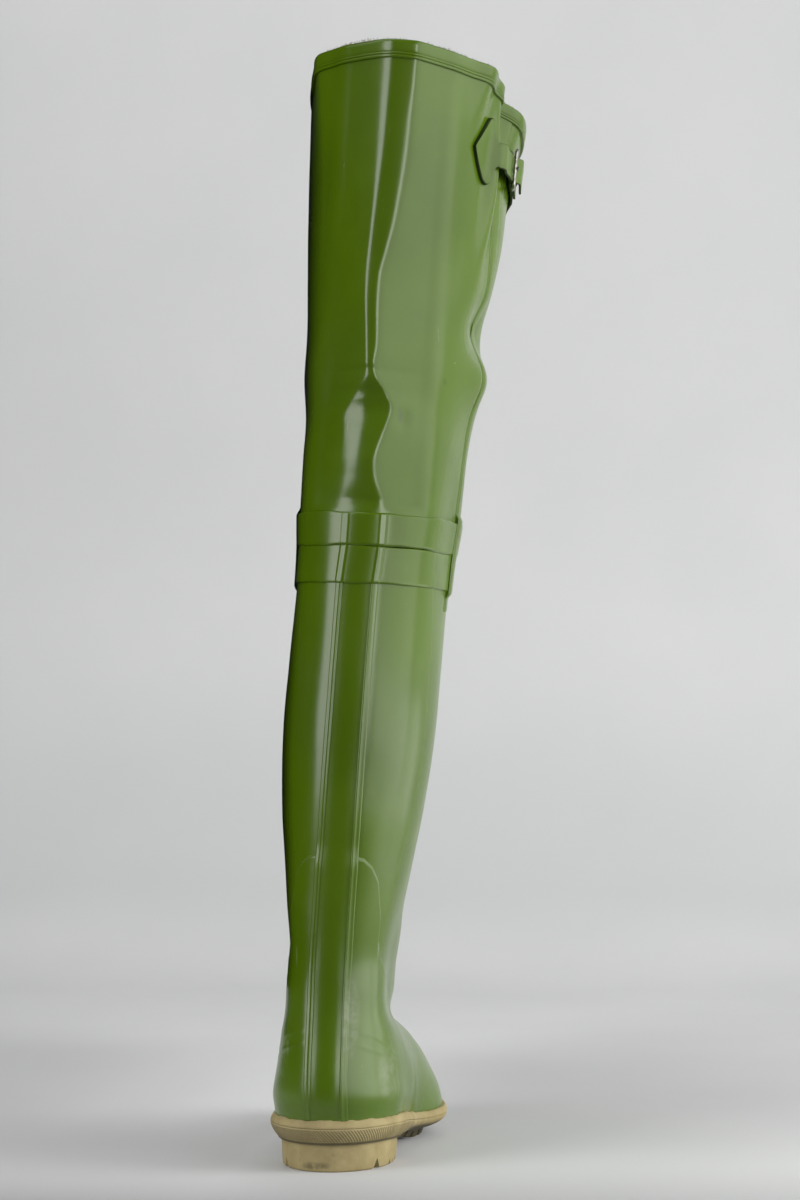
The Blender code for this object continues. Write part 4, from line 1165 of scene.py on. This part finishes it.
# %% Heel counter
COUNTER_TOP, COUNTER_OUT, COUNTER_EDGE, COUNTER_HALF_TURN = 219.0, 1.1, 2.6, 80.0
COUNTER_TURNS = (0.0, 8.0, 16.0, 24.0, 32.0, 39.0, 45.0, 47.0, 52.0, 60.0, 70.0, 80.0)
COUNTER_TOPS = (219.0, 219.0, 218.5, 216.5, 211.0, 201.0, 178.0, 160.0, 146.0, 135.0, 125.0, 117.0)
COUNTER_FEET = (35.0, 35.0, 35.0, 35.0, 35.0, 35.0, 35.0, 35.0, 36.0, 50.0, 78.0, 106.0)
RIDGE_RUNS = (14.0, 32.0, 50.0, 75.0, 95.0)
RIDGE_HEIGHTS = ((98.0, 94.0, 88.0, 79.0, 74.0), (90.0, 84.5, 80.0, 73.0, 69.0))
RIDGE_STAND, RIDGE_WIDTH, SHEEN_INSET = 0.18, 1.5, 1.2
RIDGE_ENDS = (12.0, 4.0, 90.0, 12.0)
ROW_GATHER, CLIMB_HEIGHT, CLIMB_MOST = 0.85, 180.0, 15.0
SOLE_EDGE, NO_EDGE, TOP_SHEEN_SHARE = 35.5, 9.0, 0.4


def counter_mesh(rows=170, columns=161):
    degrees = np.linspace(-COUNTER_HALF_TURN, COUNTER_HALF_TURN, columns)
    top = np.interp(np.abs(degrees), COUNTER_TURNS, COUNTER_TOPS)
    foot = np.interp(np.abs(degrees), COUNTER_TURNS, COUNTER_FEET)
    share = np.linspace(0, 1, rows)[:, None] ** ROW_GATHER
    heights = foot + (top - foot) * share
    levels = level_at(heights)
    turns = np.broadcast_to(np.radians(degrees), heights.shape)
    points = surface(levels, turns)
    run = np.abs(arc_lengths(points))
    middle_level = np.full((1, columns), level_at(CLIMB_HEIGHT))
    level_run = arc_lengths(surface(middle_level, turns[:1]))[0]
    climb = np.abs(np.gradient(top, level_run)).clip(0, CLIMB_MOST)
    inside = np.minimum((top - heights) / np.hypot(1, climb), run[:, :1] - run)
    inside = np.minimum(inside, np.where(foot > SOLE_EDGE, heights - foot, NO_EDGE))
    offset = (COUNTER_OUT + SKIN_DIP) * ease(inside / COUNTER_EDGE) - SKIN_DIP
    for line in RIDGE_HEIGHTS:
        ridge = np.exp(-((heights - np.interp(run, RIDGE_RUNS, line)) / RIDGE_WIDTH) ** 2)
        offset = offset + RIDGE_STAND * window(run, *RIDGE_ENDS) * ridge
    # A pale highlight is painted near the edge, strong where it climbs steeply and weaker on the flat top.
    steep = TOP_SHEEN_SHARE + (1 - TOP_SHEEN_SHARE) * ease((climb - 1) / 3)
    painted_sheen = np.exp(-((inside - SHEEN_INSET) / SHEEN_INSET) ** 2) * steep
    return overlay(levels, turns, offset + leg_relief(heights, turns), edge=painted_sheen)


add_piece("heel_arch", counter_mesh(), [COUNTER_GREEN], ["heel_counter"], sharp=80.0)

# %% [markdown]
# Up the back runs a stay, a strip with a flat rib along each edge and a fine raised line on each rib. It
# was pressed in one length, so one profile carried up the back gives it, with no need to model the ribs
# one by one. It climbs over the counter and ends under the knee bands.

# %% Back stay
STAY_FOOT, STAY_TOP, STAY_ROWS = 36.0, 412.0, 190
CLIMB_ABOVE, CLIMB_LENGTH = 7.0, 18.0


def stay_mesh():
    half = np.array(STAY_PROFILE)
    across = np.concatenate((-half[:, 0], half[-2::-1, 0]))
    heights = np.linspace(STAY_FOOT, STAY_TOP, STAY_ROWS)
    levels = level_at(heights)
    turns = (across[None, :] + STAY_MIDDLE) / section_at(levels).crest[:, None]
    climb = COUNTER_OUT * ease((COUNTER_TOP + CLIMB_ABOVE - heights) / CLIMB_LENGTH)
    offset = stay_out(np.abs(across))[None, :] + climb[:, None]
    levels, heights = (np.broadcast_to(column[:, None], offset.shape) for column in (levels, heights))
    return overlay(levels, turns, offset + leg_relief(heights, turns))


add_piece("ribbed_stay", stay_mesh(), [LEG_GREEN], ["back_stay"], sharp=50.0)

# %% [markdown]
# Narrow strips close the side seams of the shaft. They run up over the knee bands, so their offset
# follows the bands' thickness. A strip that was stuck on and rolled down has no square end, so its foot
# dips into the skin.

# %% Side seams
SEAM_FOOT, SEAM_HALF, SEAM_BELOW_RIM = 389.0, 3.4, 10.5
SEAM_HEIGHTS, SEAM_TURNS = (389.0, 470.0, 600.0, 660.0, 766.0), (96.0, 96.0, 94.0, 88.0, 87.0)
SEAM_PROFILE = (
    (-1.0, -0.4), (-0.93, 0.5), (-0.8, 0.9), (-0.4, 1.0), (0.0, 1.0), (0.4, 1.0), (0.8, 0.9), (0.93, 0.5),
    (1.0, -0.4),
)
SEAM_OVER_BANDS, OVER_ENDS, SEAM_END = 2.5, (399.0, 5.0, 461.0, 6.0), 2.0


def seam_mesh(side):
    profile = np.array(SEAM_PROFILE)
    heights = np.linspace(SEAM_FOOT, COLLAR_HEIGHT - SEAM_BELOW_RIM, 200)[:, None]
    over = SEAM_OVER_BANDS * window(heights, *OVER_ENDS)
    end = ease((heights - SEAM_FOOT) / SEAM_END)
    offset = (profile[:, 1] + SKIN_DIP) * end - SKIN_DIP + over
    turns = side * np.radians(np.interp(heights, SEAM_HEIGHTS, SEAM_TURNS) + SEAM_HALF * profile[:, 0])
    levels, turns, height = np.broadcast_arrays(level_at(heights), turns, heights)
    across = surface(levels, turns)[..., 0] - lean_at(height)
    return overlay(levels, turns, offset + thigh_relief(height, turns, across))


SEAMS = (("outer_seam_strip", "side_seam_lateral", 1), ("inner_seam_strip", "side_seam_medial", -1))
for name, node, side in SEAMS:
    add_piece(name, seam_mesh(side), [LEG_GREEN], [node], sharp=60.0)

# %% [markdown]
# The strap lies over the side of the shaft. It is level up to the hinge bar of its buckle and then dips
# to the front. Straps and buckle have to keep together, so none is moved by hand: all are placed by the
# run along one line from the hinge bar, the height from its middle and the offset outward.

# %% Strap places
STRAP_HEIGHT, STRAP_HALF, STRAP_DROP, STRAP_THICKNESS = 713.5, 9.0, 0.15, 1.7
HINGE_TURN, HINGE_OFFSET, FAR_BAR, FAR_OFFSET = 97.0, 3.7, -14.0, 5.2
WIRE_RADIUS, PRONG_RADIUS, FRAME_HALF, FRAME_CORNER = 1.3, 0.8, 13.2, 2.2
SPADE_LENGTH, SPADE_HALF, REAR_TIP, FRONT_TIP, STRAP_END = 31.0, 24.0, -81.5, 70.0, 13.0
SAG_RUNS, SAG_DROPS = (-62.0, -50.0, -30.0, -14.0, 0.0, 40.0), (0.0, 2.4, 3.6, 4.6, 5.0, 5.0)
BUCKLE_TILT, TILT_ENDS = 0.12, (-45.0, 20.0, 45.0, 20.0)
LOOP_RADIUS = WIRE_RADIUS + GAP + STRAP_THICKNESS / 2
STRAP_TURNS = np.linspace(0.3, 2.9, 400)
LEVEL_ROUNDS = 4


def strap_levels(turn, height):
    """Levels at heights from the strap's middle line, which is level up to the hinge and then dips."""
    turn = np.minimum(turn, math.radians(HINGE_TURN))
    wanted = STRAP_HEIGHT + np.asarray(height, float)
    back_height = wanted
    for _ in range(LEVEL_ROUNDS):
        back_height = back_height + wanted - surface(level_at(back_height), turn, 0.0, False)[..., 2]
    return level_at(back_height)


def path_run(points):
    """Lengths along a row of points, from its first."""
    return np.concatenate(([0.0], np.cumsum(np.linalg.norm(np.diff(points, axis=0), axis=1))))


STRAP_LINE = surface(strap_levels(STRAP_TURNS, np.zeros(len(STRAP_TURNS))), STRAP_TURNS, 0.0, False)
STRAP_RUN = path_run(STRAP_LINE)
STRAP_RUN = STRAP_RUN - np.interp(math.radians(HINGE_TURN), STRAP_TURNS, STRAP_RUN)


def strap_points(run, height, offset):
    """Points by run along the strap from the hinge bar, height from its middle line and offset outward."""
    run, height, offset = np.broadcast_arrays(np.asarray(run, float), height, offset)
    turn = np.interp(run, STRAP_RUN, STRAP_TURNS)
    offset = offset - BUCKLE_TILT * height * window(run, *TILT_ENDS)
    drop = np.interp(run, SAG_RUNS, SAG_DROPS) + STRAP_DROP * np.maximum(run, 0)
    return surface(strap_levels(turn, height - drop), turn, offset, False)


print("strap length on the boot:", round(FRONT_TIP - REAR_TIP, 1), "mm")

# %% [markdown]
# A strap is cut from thick sheet, so its edges are square cuts. They are darker than its faces, as cut
# rubber is, and the dark reaches over the rounded corner onto the face as a painted shadow line along the
# edge. A ribbon with a Solidify modifier would do for a straight strap, but this one bends round the
# buckle's bar. So it is made as closed sections, carried along a path of runs and offsets and turned with
# it.

# %% Strap sections
STRAP_SECTION = (
    (-1.0, -1.0), (-1.0, 0.4), (-0.99, 0.8), (-0.96, 1.0), (-0.5, 1.0), (0.0, 1.0), (0.5, 1.0), (0.96, 1.0),
    (0.99, 0.8), (1.0, 0.4), (1.0, -1.0), (0.5, -1.0), (0.0, -1.0), (-0.5, -1.0),
)
# The dark finish covers the cut sides and the rounded corners of the face, where it paints a shadow line.
CUT_AND_SHADOW_ROWS = (1,) * 3 + (0,) * 4 + (1,) * 3 + (0,) * 4


def strap_mesh(runs, middles, thicknesses, halves):
    """Closed sections along a path of runs and middle offsets."""
    runs, middles = np.asarray(runs, float), np.asarray(middles, float)
    ahead, rise = np.gradient(runs), np.gradient(middles)
    length = np.hypot(ahead, rise)
    rows = []
    for share, lift in STRAP_SECTION + STRAP_SECTION[:1]:
        out = lift * np.asarray(thicknesses) / 2
        along, offsets = runs - rise / length * out, middles + ahead / length * out
        rows.append(strap_points(along, share * np.asarray(halves), offsets))
    return closed_grid(np.array(rows), CUT_AND_SHADOW_ROWS)


print("strap section points:", len(STRAP_SECTION))

# %% [markdown]
# The strap's patch is a spade with a pointed tip and two round lobes. A Boolean of circles would leave
# hard corners between them, so its half height is read from a short table of shares, from its tip to its
# neck. On the patch the section is deeper, so that it beds into the soft wall below. The free end then
# rises through the buckle.

# %% Rear strap
SPADE_SHARES = (0.0, 0.03, 0.12, 0.40, 0.60, 0.69, 0.76, 0.82, 0.87, 0.92, 1.0)
SPADE_HALVES = (0.02, 0.09, 0.25, 0.68, 0.95, 1.0, 0.985, 0.90, 0.72, 0.48, 0.353)
PATCH_TOP, PATCH_DEPTH = 2.9, 4.0
FREE_RUNS = (-50.0, -40.0, -28.0, -18.0, -13.0, -9.0, -4.0, 0.0, 4.0, 8.0, STRAP_END)
FREE_OFFSETS = (0.9, 1.0, 1.1, 1.5, 1.9, 3.1, 6.3, 7.7, 7.8, 7.5, 7.2)
FREE_ROWS, TIP_SHARE = 60, 0.12
patch_shares = np.concatenate((np.linspace(0, TIP_SHARE, 7)[:-1], np.linspace(TIP_SHARE, 1.0, 45)))
patch_halves = SPADE_HALF * smooth(patch_shares, SPADE_SHARES, SPADE_HALVES)
free = np.linspace(FREE_RUNS[0], STRAP_END, FREE_ROWS)
free_middle = smooth(free, FREE_RUNS, FREE_OFFSETS) + STRAP_THICKNESS / 2


def patch_then_strip(patch, strip):
    """Values along a strap, those of its patch first; one number serves for the whole patch."""
    return np.concatenate((np.broadcast_to(patch, len(patch_shares)), strip))


rear_mesh = strap_mesh(
    patch_then_strip(REAR_TIP + SPADE_LENGTH * patch_shares, free),
    patch_then_strip(PATCH_TOP - PATCH_DEPTH / 2, free_middle),
    patch_then_strip(PATCH_DEPTH, np.full(FREE_ROWS, STRAP_THICKNESS)),
    patch_then_strip(patch_halves, np.full(FREE_ROWS, STRAP_HALF)))
add_piece("rear_strap", rear_mesh, [STRAP_GREEN, STRAP_EDGE_AND_SHADOW], ["strap_rear"], sharp=50.0)

# %% [markdown]
# The front patch has the same spade. Its strip runs under the buckle, folds round the hinge bar and comes
# back on itself, as a glued loop does. Bending a finished strip would stretch it, so its path is a short
# list of places with an arc in it, and the same sections follow it.

# %% Front strap
STRIP_RUNS, BACK_RUNS, LOOP_LIFT = (27.0, 20.0, 13.0, 6.0), (4.0, 7.5, 11.0, 20.0), 0.1
flat = 2 * GAP + STRAP_THICKNESS / 2
folded_back = flat + STRAP_THICKNESS + GAP
loop_angles = np.radians(np.arange(-90, -281, -10))
loop_runs = LOOP_RADIUS * np.cos(loop_angles)
loop_offsets = HINGE_OFFSET + LOOP_LIFT + LOOP_RADIUS * np.sin(loop_angles)
back_offsets = (5.0, 3.5, folded_back, folded_back)
strip_runs = np.concatenate((STRIP_RUNS, loop_runs, BACK_RUNS))
strip_offsets = np.concatenate((np.full(len(STRIP_RUNS), flat), loop_offsets, back_offsets))
front_mesh = strap_mesh(
    patch_then_strip(FRONT_TIP - SPADE_LENGTH * patch_shares, strip_runs),
    patch_then_strip(flat, strip_offsets),
    STRAP_THICKNESS,
    patch_then_strip(patch_halves, np.full(len(strip_runs), STRAP_HALF)))
add_piece("front_strap", front_mesh, [STRAP_GREEN, STRAP_EDGE_AND_SHADOW], ["strap_front"], sharp=50.0)

# %% [markdown]
# The buckle is bent from round wire: a frame with rounded corners, and a prong with an eye round the
# hinge bar. Cylinders would need joints at the corners, so each is a curve with a round bevel. A curve
# object becomes a mesh when the scene is read, so nothing more is needed.

# %% Buckle
def wire_piece(name, places, cyclic, radius, node):
    data = bpy.data.curves.new(name, "CURVE")
    data.dimensions = "3D"
    data.bevel_depth = radius * MM
    data.bevel_resolution = 4
    data.use_fill_caps = not cyclic
    line = data.splines.new("POLY")
    line.points.add(len(places) - 1)
    line.use_cyclic_u = cyclic
    for point, (run, height, offset) in zip(line.points, places):
        point.co = (*to_frame(strap_points([run], [height], offset)[0]), 1.0)
    data.materials.append(STEEL)
    piece = put_in_scene(name, data)
    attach(piece, "root")
    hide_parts(node)
    print(name, "points:", len(places))


FRAME_ENDS = (
    (0.0, HINGE_OFFSET, 1, 1), (FAR_BAR, FAR_OFFSET, -1, 1),
    (FAR_BAR, FAR_OFFSET, -1, -1), (0.0, HINGE_OFFSET, 1, -1),
)
PRONG_BEND, PRONG_LIFT, PRONG_PAST = (-5.0, 0.0, 6.3), 0.1, 2.5
frame_places = []
for corner, (run, offset, ahead, up) in enumerate(FRAME_ENDS):
    for angle in np.radians(90 * corner + np.arange(0, 91, 10)):
        height = up * (FRAME_HALF - FRAME_CORNER) + FRAME_CORNER * math.sin(angle)
        frame_places.append((run - ahead * FRAME_CORNER + FRAME_CORNER * math.cos(angle), height, offset))
wire_piece("buckle_wire", frame_places, True, WIRE_RADIUS, "buckle_frame")
eye = WIRE_RADIUS + GAP + PRONG_RADIUS
prong_places = []
for angle in np.radians(np.arange(-150, 91, 10)):
    prong_places.append((eye * math.cos(angle), 0.0, HINGE_OFFSET + eye * math.sin(angle)))
prong_places += [PRONG_BEND, (FAR_BAR, 0.0, FAR_OFFSET + eye + PRONG_LIFT)]
prong_places.append((FAR_BAR - PRONG_PAST, 0.0, FAR_OFFSET + eye))
wire_piece("prong_wire", prong_places, False, PRONG_RADIUS, "buckle_prong")

# %% [markdown]
# A bead of tan rubber closes the joint of sole and upper. It was trimmed by hand, so its upper edge is
# ragged. A clean sweep of the profile would look moulded, so the upper rows of the profile follow a
# height that wanders.

# %% Foxing bead
FOXING_PROFILE = (
    (0.0, -0.5, 0.0), (0.0, 4.1, 0.0), (0.7, 4.3, 0.0), (1.6, 4.15, 0.0), (2.8, 3.7, 0.1), (4.0, 3.1, 0.4),
    (5.0, 2.5, 0.8), (5.5, 2.0, 1.0), (5.6, 1.4, 1.0), (5.5, -0.5, 1.0),
)
FOXING_RAG = 1.0


def foxing_mesh():
    turns = back_turns(420, 0.2)
    rise = SECTIONS[1].back_z - SECTIONS[0].back_z
    rag = FOXING_RAG * (0.6 * wander(2 * turns, 0.7) + 0.4 * wander(9 * turns, 2.0))
    rows = []
    for height, offset, share in FOXING_PROFILE + FOXING_PROFILE[:1]:
        rows.append(surface(np.clip((height + share * rag) / rise, 0, 1), turns, offset))
    return closed_grid(np.array(rows))


add_piece("foxing_bead", foxing_mesh(), [TAN], ["foxing_strip"], sharp=60.0)

# %% [markdown]
# The sole is one moulded plate with a rounded side band, a waist and a toe that springs. A bevelled plate
# couldn't change its side along the foot. So it is built as closed sections across the foot, from the
# heel to the toe, whose sides follow one table of offsets, for heel and forefoot, and drops below the
# top.

# %% Sole plate
SoleStep = namedtuple("SoleStep", "heel_offset fore_offset drop")
SOLE_STEPS = (
    SoleStep(4.2, 4.0, 0.0), SoleStep(4.3, 4.1, 0.5), SoleStep(4.1, 4.0, 1.3), SoleStep(3.8, 3.5, 2.4),
    SoleStep(3.4, 2.6, 3.6), SoleStep(2.8, 1.0, 5.0), SoleStep(1.9, -1.6, 6.6), SoleStep(0.7, -5.5, 8.3),
    SoleStep(-0.2, -9.5, 9.4), SoleStep(-0.8, -12.5, 9.9),
)
TREAD_OFFSETS = (-1.6, -15.0)
FORE_START, FORE_FULL = 0.25, 0.55


def sole_sections(turns, side):
    """Closed sections across the foot; side gives an offset and a height for each turn, top to bottom."""
    rows = []
    for hand in (1, -1):
        half = []
        for offset, height in side:
            points = surface(np.zeros(len(turns)), hand * turns, offset)
            points[:, 2] = height
            half.append(points)
        rows += half if hand == 1 else half[::-1]
    return np.array(rows + rows[:1])


def sole_mesh():
    turns = np.linspace(0, math.pi, 150)
    edge = surface(np.zeros(len(turns)), turns)
    top, under = sole_top(edge[:, 1]), sole_under(edge[:, 1])
    fore = ease((edge[:, 1] / FOOT_LENGTH - FORE_START) / (FORE_FULL - FORE_START))
    side = []
    for step in SOLE_STEPS:
        side.append((step.heel_offset + (step.fore_offset - step.heel_offset) * fore, top - step.drop))
    side.append((TREAD_OFFSETS[0] + (TREAD_OFFSETS[1] - TREAD_OFFSETS[0]) * fore, under))
    points = sole_sections(turns, side)
    run = path_run(edge)
    hands = np.array([1.0] * len(side) + [-1.0] * len(side) + [1.0])[:, None]
    measures = {"run": hands * run[None, :], "drop": top[None, :] - points[..., 2]}
    return closed_grid(points, None, measures)


print("sole steps:", len(SOLE_STEPS))

# %% [markdown]
# The tread is cut across the forefoot with bars. Modelling each block would take more rows than the whole
# sole, so a Boolean modifier cuts all the bars at once, and the result is read back as a new mesh.

# %% Tread
TREAD_START, TREAD_PITCH, TREAD_GROOVES, TREAD_WIDTH, TREAD_DEPTH = 130.0, 12.5, 13, 4.6, 4.6
BAR_LENGTH, BAR_TALL = 160.0, 20.0


def carved(name, mesh, cutters):
    """The mesh with other closed meshes cut out of it."""
    solids = [mesh_object(name, mesh), mesh_object(name + "_cutters", cutters)]
    cut = solids[0].modifiers.new("cut", "BOOLEAN")
    cut.object = solids[1]
    bpy.context.view_layer.update()
    result = bmesh.new()
    result.from_object(solids[0], bpy.context.evaluated_depsgraph_get())
    for solid in solids:
        bpy.data.meshes.remove(solid.data)
    return result


def tread_bars():
    bars = bmesh.new()
    stretch = Matrix.Diagonal((BAR_LENGTH, TREAD_WIDTH, BAR_TALL, 1.0))
    for y in TREAD_START + TREAD_PITCH * np.arange(TREAD_GROOVES):
        roof = float(sole_under(y)[0]) + TREAD_DEPTH
        place = Matrix.Translation(to_frame((0.0, y, roof - BAR_TALL / 2)))
        bmesh.ops.create_cube(bars, size=MM, matrix=place @ stretch)
    return bars


sole = carved("sole", sole_mesh(), tread_bars())
add_piece("sole_plate", sole, [TAN_KNURLED], ["outsole"], sharp=42.0)

# %% [markdown]
# The heel is a separate block, set in from the sole's band. Its foot has a rounded edge and is cut by
# cross grooves, which show as small notches along its sides. A groove is a prism, and a cube turned on
# its edge and squeezed makes one without a list of corners.

# %% Heel
HEEL_SIDE = ((-3.6, None), (-4.0, 9.0), (-4.4, 1.6), (-4.7, 0.7), (-5.4, 0.1), (-6.2, 0.0))
HEEL_BREAST_TURN = 60.0
HeelGroove = namedtuple("HeelGroove", "y tall wide")
HEEL_GROOVES = (
    HeelGroove(30.0, 7.2, 3.6), HeelGroove(48.5, 4.6, 2.0),
    HeelGroove(56.0, 4.0, 1.8), HeelGroove(64.0, 4.6, 2.0),
)
HEEL_GROOVE_SLANT, HEEL_GROOVE_LENGTH, HEEL_BEDDING = 2.0, 120.0, 1.0


def heel_mesh():
    turns = np.linspace(0, math.radians(HEEL_BREAST_TURN), 70)
    top = sole_under(surface(np.zeros(len(turns)), turns)[:, 1]) + HEEL_BEDDING
    side = []
    for offset, height in HEEL_SIDE:
        side.append((offset, top if height is None else np.full(len(turns), height)))
    return closed_grid(sole_sections(turns, side))


def heel_notches():
    notches = bmesh.new()
    turned = Matrix.Rotation(math.radians(45), 4, "X")
    slant = Matrix.Rotation(math.radians(HEEL_GROOVE_SLANT), 4, "Z")
    for groove in HEEL_GROOVES:
        wide, tall = groove.wide * math.sqrt(2), groove.tall * math.sqrt(2)
        squeeze = Matrix.Diagonal((HEEL_GROOVE_LENGTH, wide, tall, 1.0))
        place = Matrix.Translation(to_frame((0.0, groove.y, 0.0))) @ slant @ squeeze @ turned
        bmesh.ops.create_cube(notches, size=MM, matrix=place)
    return notches


heel = carved("heel_form", heel_mesh(), heel_notches())
add_piece("heel", heel, [TAN], ["heel_block"], sharp=42.0)

# %% [markdown]
# Threads of the cut lining stand up along the collar. A hair system could grow them, but its strands are
# no meshes. Each thread is a thin cone with three sides, leaned at random from a fixed seed, and all of
# them are one mesh.

# %% Lining threads
THREADS, THREAD_SEED = 420, 11
THREAD_LENGTHS, THREAD_OFFSETS, THREAD_LEAN = (1.2, 3.6), (-2.6, -0.9), 0.7
THREAD_FOOT, THREAD_TIP, THREAD_STAND, THREAD_SHARE = 0.30, 0.14, 1.4, 0.25
chance = np.random.default_rng(THREAD_SEED)
mesh = bmesh.new()
for turn in chance.uniform(-math.pi, math.pi, THREADS):
    length = chance.uniform(*THREAD_LENGTHS)
    root = surface(TOP_LEVEL, turn, chance.uniform(*THREAD_OFFSETS))
    root = root + np.array((0.0, 0.0, THREAD_STAND + THREAD_SHARE * length))
    lean = Matrix.Rotation(chance.normal(0, THREAD_LEAN), 4, "X")
    lean = lean @ Matrix.Rotation(chance.normal(0, THREAD_LEAN), 4, "Y")
    bmesh.ops.create_cone(mesh, cap_ends=True, segments=3, radius1=THREAD_FOOT * MM,
                          radius2=THREAD_TIP * MM, depth=length * MM,
                          matrix=Matrix.Translation(to_frame(root)) @ lean)
add_piece("lining_threads", mesh, [LINING], [], sharp=60.0)

# %% [markdown]
# The footbed is a plain flat piece inside the boot, and little of it can be seen. A new mesh would gain
# nothing, so its solid stays and only gets the lining's finish.

# %% Footbed
footbed = frame["nodes"]["insole"]
footbed.data.materials.clear()
footbed.data.materials.append(LINING)
print("solids kept: insole")

# %% [markdown]
# The boot stands on a pale paper sweep that runs back and then up. A floor and a wall would show a
# corner, so it is one strip bent along a profile, which leaves no hard horizon. Its near end is dark, so
# that it doesn't shine in the rubber.

# %% Floor and sweep
SWEEP_FRONT, SWEEP_BACK, SWEEP_RADIUS, SWEEP_TOP, SWEEP_HALF = -2.6, 1.2, 0.7, 3.2, 1.15
PAPER_DARK, PAPER_LIGHT = colour(0.55, 0.555, 0.555), colour(0.605, 0.61, 0.605)
PAINTED_BEND_SHADE, PAPER_NEAR = colour(0.44, 0.445, 0.45), colour(0.05, 0.05, 0.05)
NEAR_NORTH, BEND_UP, BEND_SHADE = (-0.55, -0.05), ((0.02, 0.10), (0.18, 0.45)), 0.35


def sweep_profile():
    flat = [(SWEEP_FRONT, 0.0), (SWEEP_BACK, 0.0)]
    bend = np.radians(np.arange(6, 91, 6))
    curve = [(SWEEP_BACK + SWEEP_RADIUS * math.sin(a), SWEEP_RADIUS * (1 - math.cos(a))) for a in bend]
    return flat + curve + [(SWEEP_BACK + SWEEP_RADIUS, SWEEP_TOP)]


def sweep_paper():
    paper, shader, graph = new_material("pale paper", specular=0.25)
    place = object_place(graph)
    fleck = noise(graph, place, 5.0, 4.0)
    _, north, up = axes(graph, place)
    pale = fleck.blend(PAPER_DARK, PAPER_LIGHT)
    # A band low in the bend is painted darker, as shade where the floor turns up into the wall.
    pale = (up.between(*BEND_UP) * BEND_SHADE).blend(pale, PAINTED_BEND_SHADE)
    connect(shader, graph, north.step(*NEAR_NORTH).blend(PAPER_NEAR, pale), fleck * 0.1 + 0.6)
    return paper


profile = sweep_profile()
mesh = bmesh.new()
bmesh.ops.create_grid(mesh, x_segments=1, y_segments=len(profile) - 1, size=1)
for index, vert in enumerate(mesh.verts):
    along, up = profile[index // 2]
    vert.co = (SWEEP_HALF * (1 if index % 2 else -1), along, up)
for face in mesh.faces:
    face.smooth = True
sweep = mesh_object("sweep", mesh, [sweep_paper()])
print("sweep rows:", len(profile))

# %% [markdown]
# A dark card close to the inner side gives the boot its black left rim, as a photographer shapes gloss
# with black cloth. Dimmer lamps couldn't do it, because the pale sweep would still shine there. The
# camera doesn't see the card.

# %% Dark card
CARD_PLACE, CARD_WIDE, CARD_TALL = (-66.0, 352.0, 585.0), 700.0, 930.0
BLACK_DEEP, BLACK_WORN = colour(0.004, 0.005, 0.003), colour(0.008, 0.009, 0.006)
black_cloth = mottled("black cloth", 90.0, BLACK_DEEP, BLACK_WORN, 0.85, 0.1)
mesh = bmesh.new()
upright = Matrix.Translation(to_frame(CARD_PLACE)) @ Matrix.Rotation(math.radians(90), 4, "Y")
bmesh.ops.create_grid(mesh, x_segments=1, y_segments=1, size=0.5 * MM,
                      matrix=upright @ Matrix.Diagonal((CARD_TALL, CARD_WIDE, 1.0, 1.0)))
card = mesh_object("dark_card", mesh, [black_cloth])
card.visible_camera = False
print("card height:", CARD_TALL, "mm")
